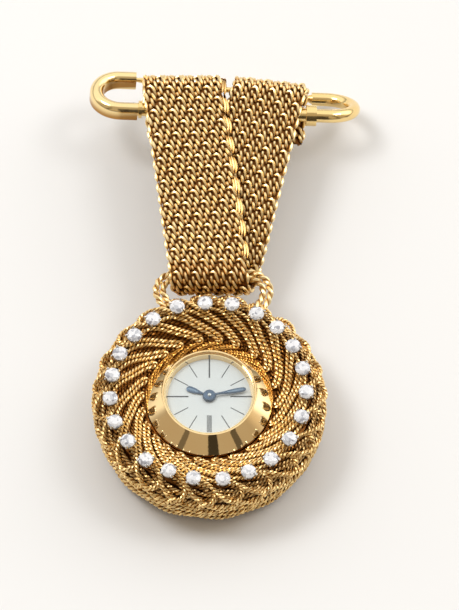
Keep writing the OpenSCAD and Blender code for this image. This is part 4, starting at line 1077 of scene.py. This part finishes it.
def floor():
    """Pale tabletop under the case back."""
    form = bmesh.new()
    bmesh.ops.create_grid(form, x_segments=1, y_segments=1, size=3)
    mesh = bpy.data.meshes.new("floor")
    form.to_mesh(mesh)
    form.free()
    pale = Finish("pale_floor", Base_Color=(0.80, 0.80, 0.80), Roughness=0.6)
    mesh.materials.append(pale.material)
    made = bpy.data.objects.new("floor", mesh)
    bpy.context.scene.collection.objects.link(made)
    made.location.z = -0.02 * MM


WATCH_PLACE = Vector((0, 0.02, 0))


def lamp(name, place, size, power):
    """Square soft lamp, in metres and watts, that faces the watch."""
    data = bpy.data.lights.new(name, "AREA")
    data.shape = "SQUARE"
    data.size = size
    data.energy = power
    made = bpy.data.objects.new(name, data)
    made.location = place
    facing = WATCH_PLACE - Vector(place)
    made.rotation_euler = facing.to_track_quat("-Z", "Y").to_euler()
    bpy.context.scene.collection.objects.link(made)


# Dark upright gaps between the lights, which the bezel mirrors: azimuth in degrees, half
# the width as a cosine, and the share of light that is left
DARK_GAPS = ((-84.0, 0.12, 0.10), (-131.8, 0.07, 0.36), (-45.5, 0.08, 0.26))


class Sky(Nodes):
    """The studio's surroundings, which a polished surface mirrors."""

    def __init__(self):
        world = bpy.data.worlds.new("studio")
        bpy.context.scene.world = world
        world.use_nodes = True
        super().__init__(world.node_tree)
        self.background = self.tree.nodes["Background"]
        self.facing = self.node("TexCoord", output="Generated")

    def toward(self, direction):
        """Cosine between the direction looked in and a given one."""
        return self.node("VectorMath", {"operation": "DOT_PRODUCT"},
            {0: self.facing, 1: Vector(direction).normalized()}, output="Value")

    def gap(self, azimuth, half_width, level):
        """1 but for an upright band at an azimuth, which falls to a level."""
        a = math.radians(azimuth)
        aside = self.toward((-math.sin(a), math.cos(a), 0)).math("ABSOLUTE")
        ahead = self.toward((math.cos(a), math.sin(a), 0))
        beside = aside.between(half_width * 0.85, half_width, level, 1.0)
        behind = ahead.between(0.50, 0.56, 1.0, level)
        return beside.math("MAXIMUM", behind)


def studio():
    """Bright above, behind and beside, and dimmer in front."""
    sky = Sky()
    up = sky.toward((0, 0, 1))
    back = sky.toward((0, 1, 0))
    right_panel = sky.toward((0.86, 0.38, 0.30))
    strength = up.between(-0.05, 0.30, 0.12, 1.0) * back.between(-0.02, 0.20, 0.50, 1.14)
    strength = strength * right_panel.between(0.76, 0.93, 1.0, 1.75)
    for azimuth, half_width, level in DARK_GAPS:
        strength = strength * sky.gap(azimuth, half_width, level)
    tint = sky.mix(back.between(-0.10, 0.15), (1.0, 0.87, 0.70), (1.0, 0.99, 0.97))
    sky.feed(sky.background.inputs["Strength"], strength)
    sky.feed(sky.background.inputs["Color"], tint)
    lamp("key_lamp", (-0.42, 0.22, 0.72), 0.30, 2.6)
    lamp("fill_lamp", (0.48, 0.18, 0.70), 0.30, 1.3)
    bpy.context.scene.view_settings.view_transform = "Standard"


nest()
nest_side()
brilliants()
settings()
bezel()
dial_print()
hand("hour_hand_leaf", "hour", 3.45, 0.95, HOUR_HAND_Z, HOUR_ANGLE, "hour_hand")
hand("minute_hand_leaf", "minute", 5.3, 0.85, MINUTE_HAND_Z, MINUTE_ANGLE, "minute_hand")
centre_cap()
ribbon_weave()
ribbon_selvedges()
ribbon_core()
bail()
dress_cad_pieces()
floor()
studio()
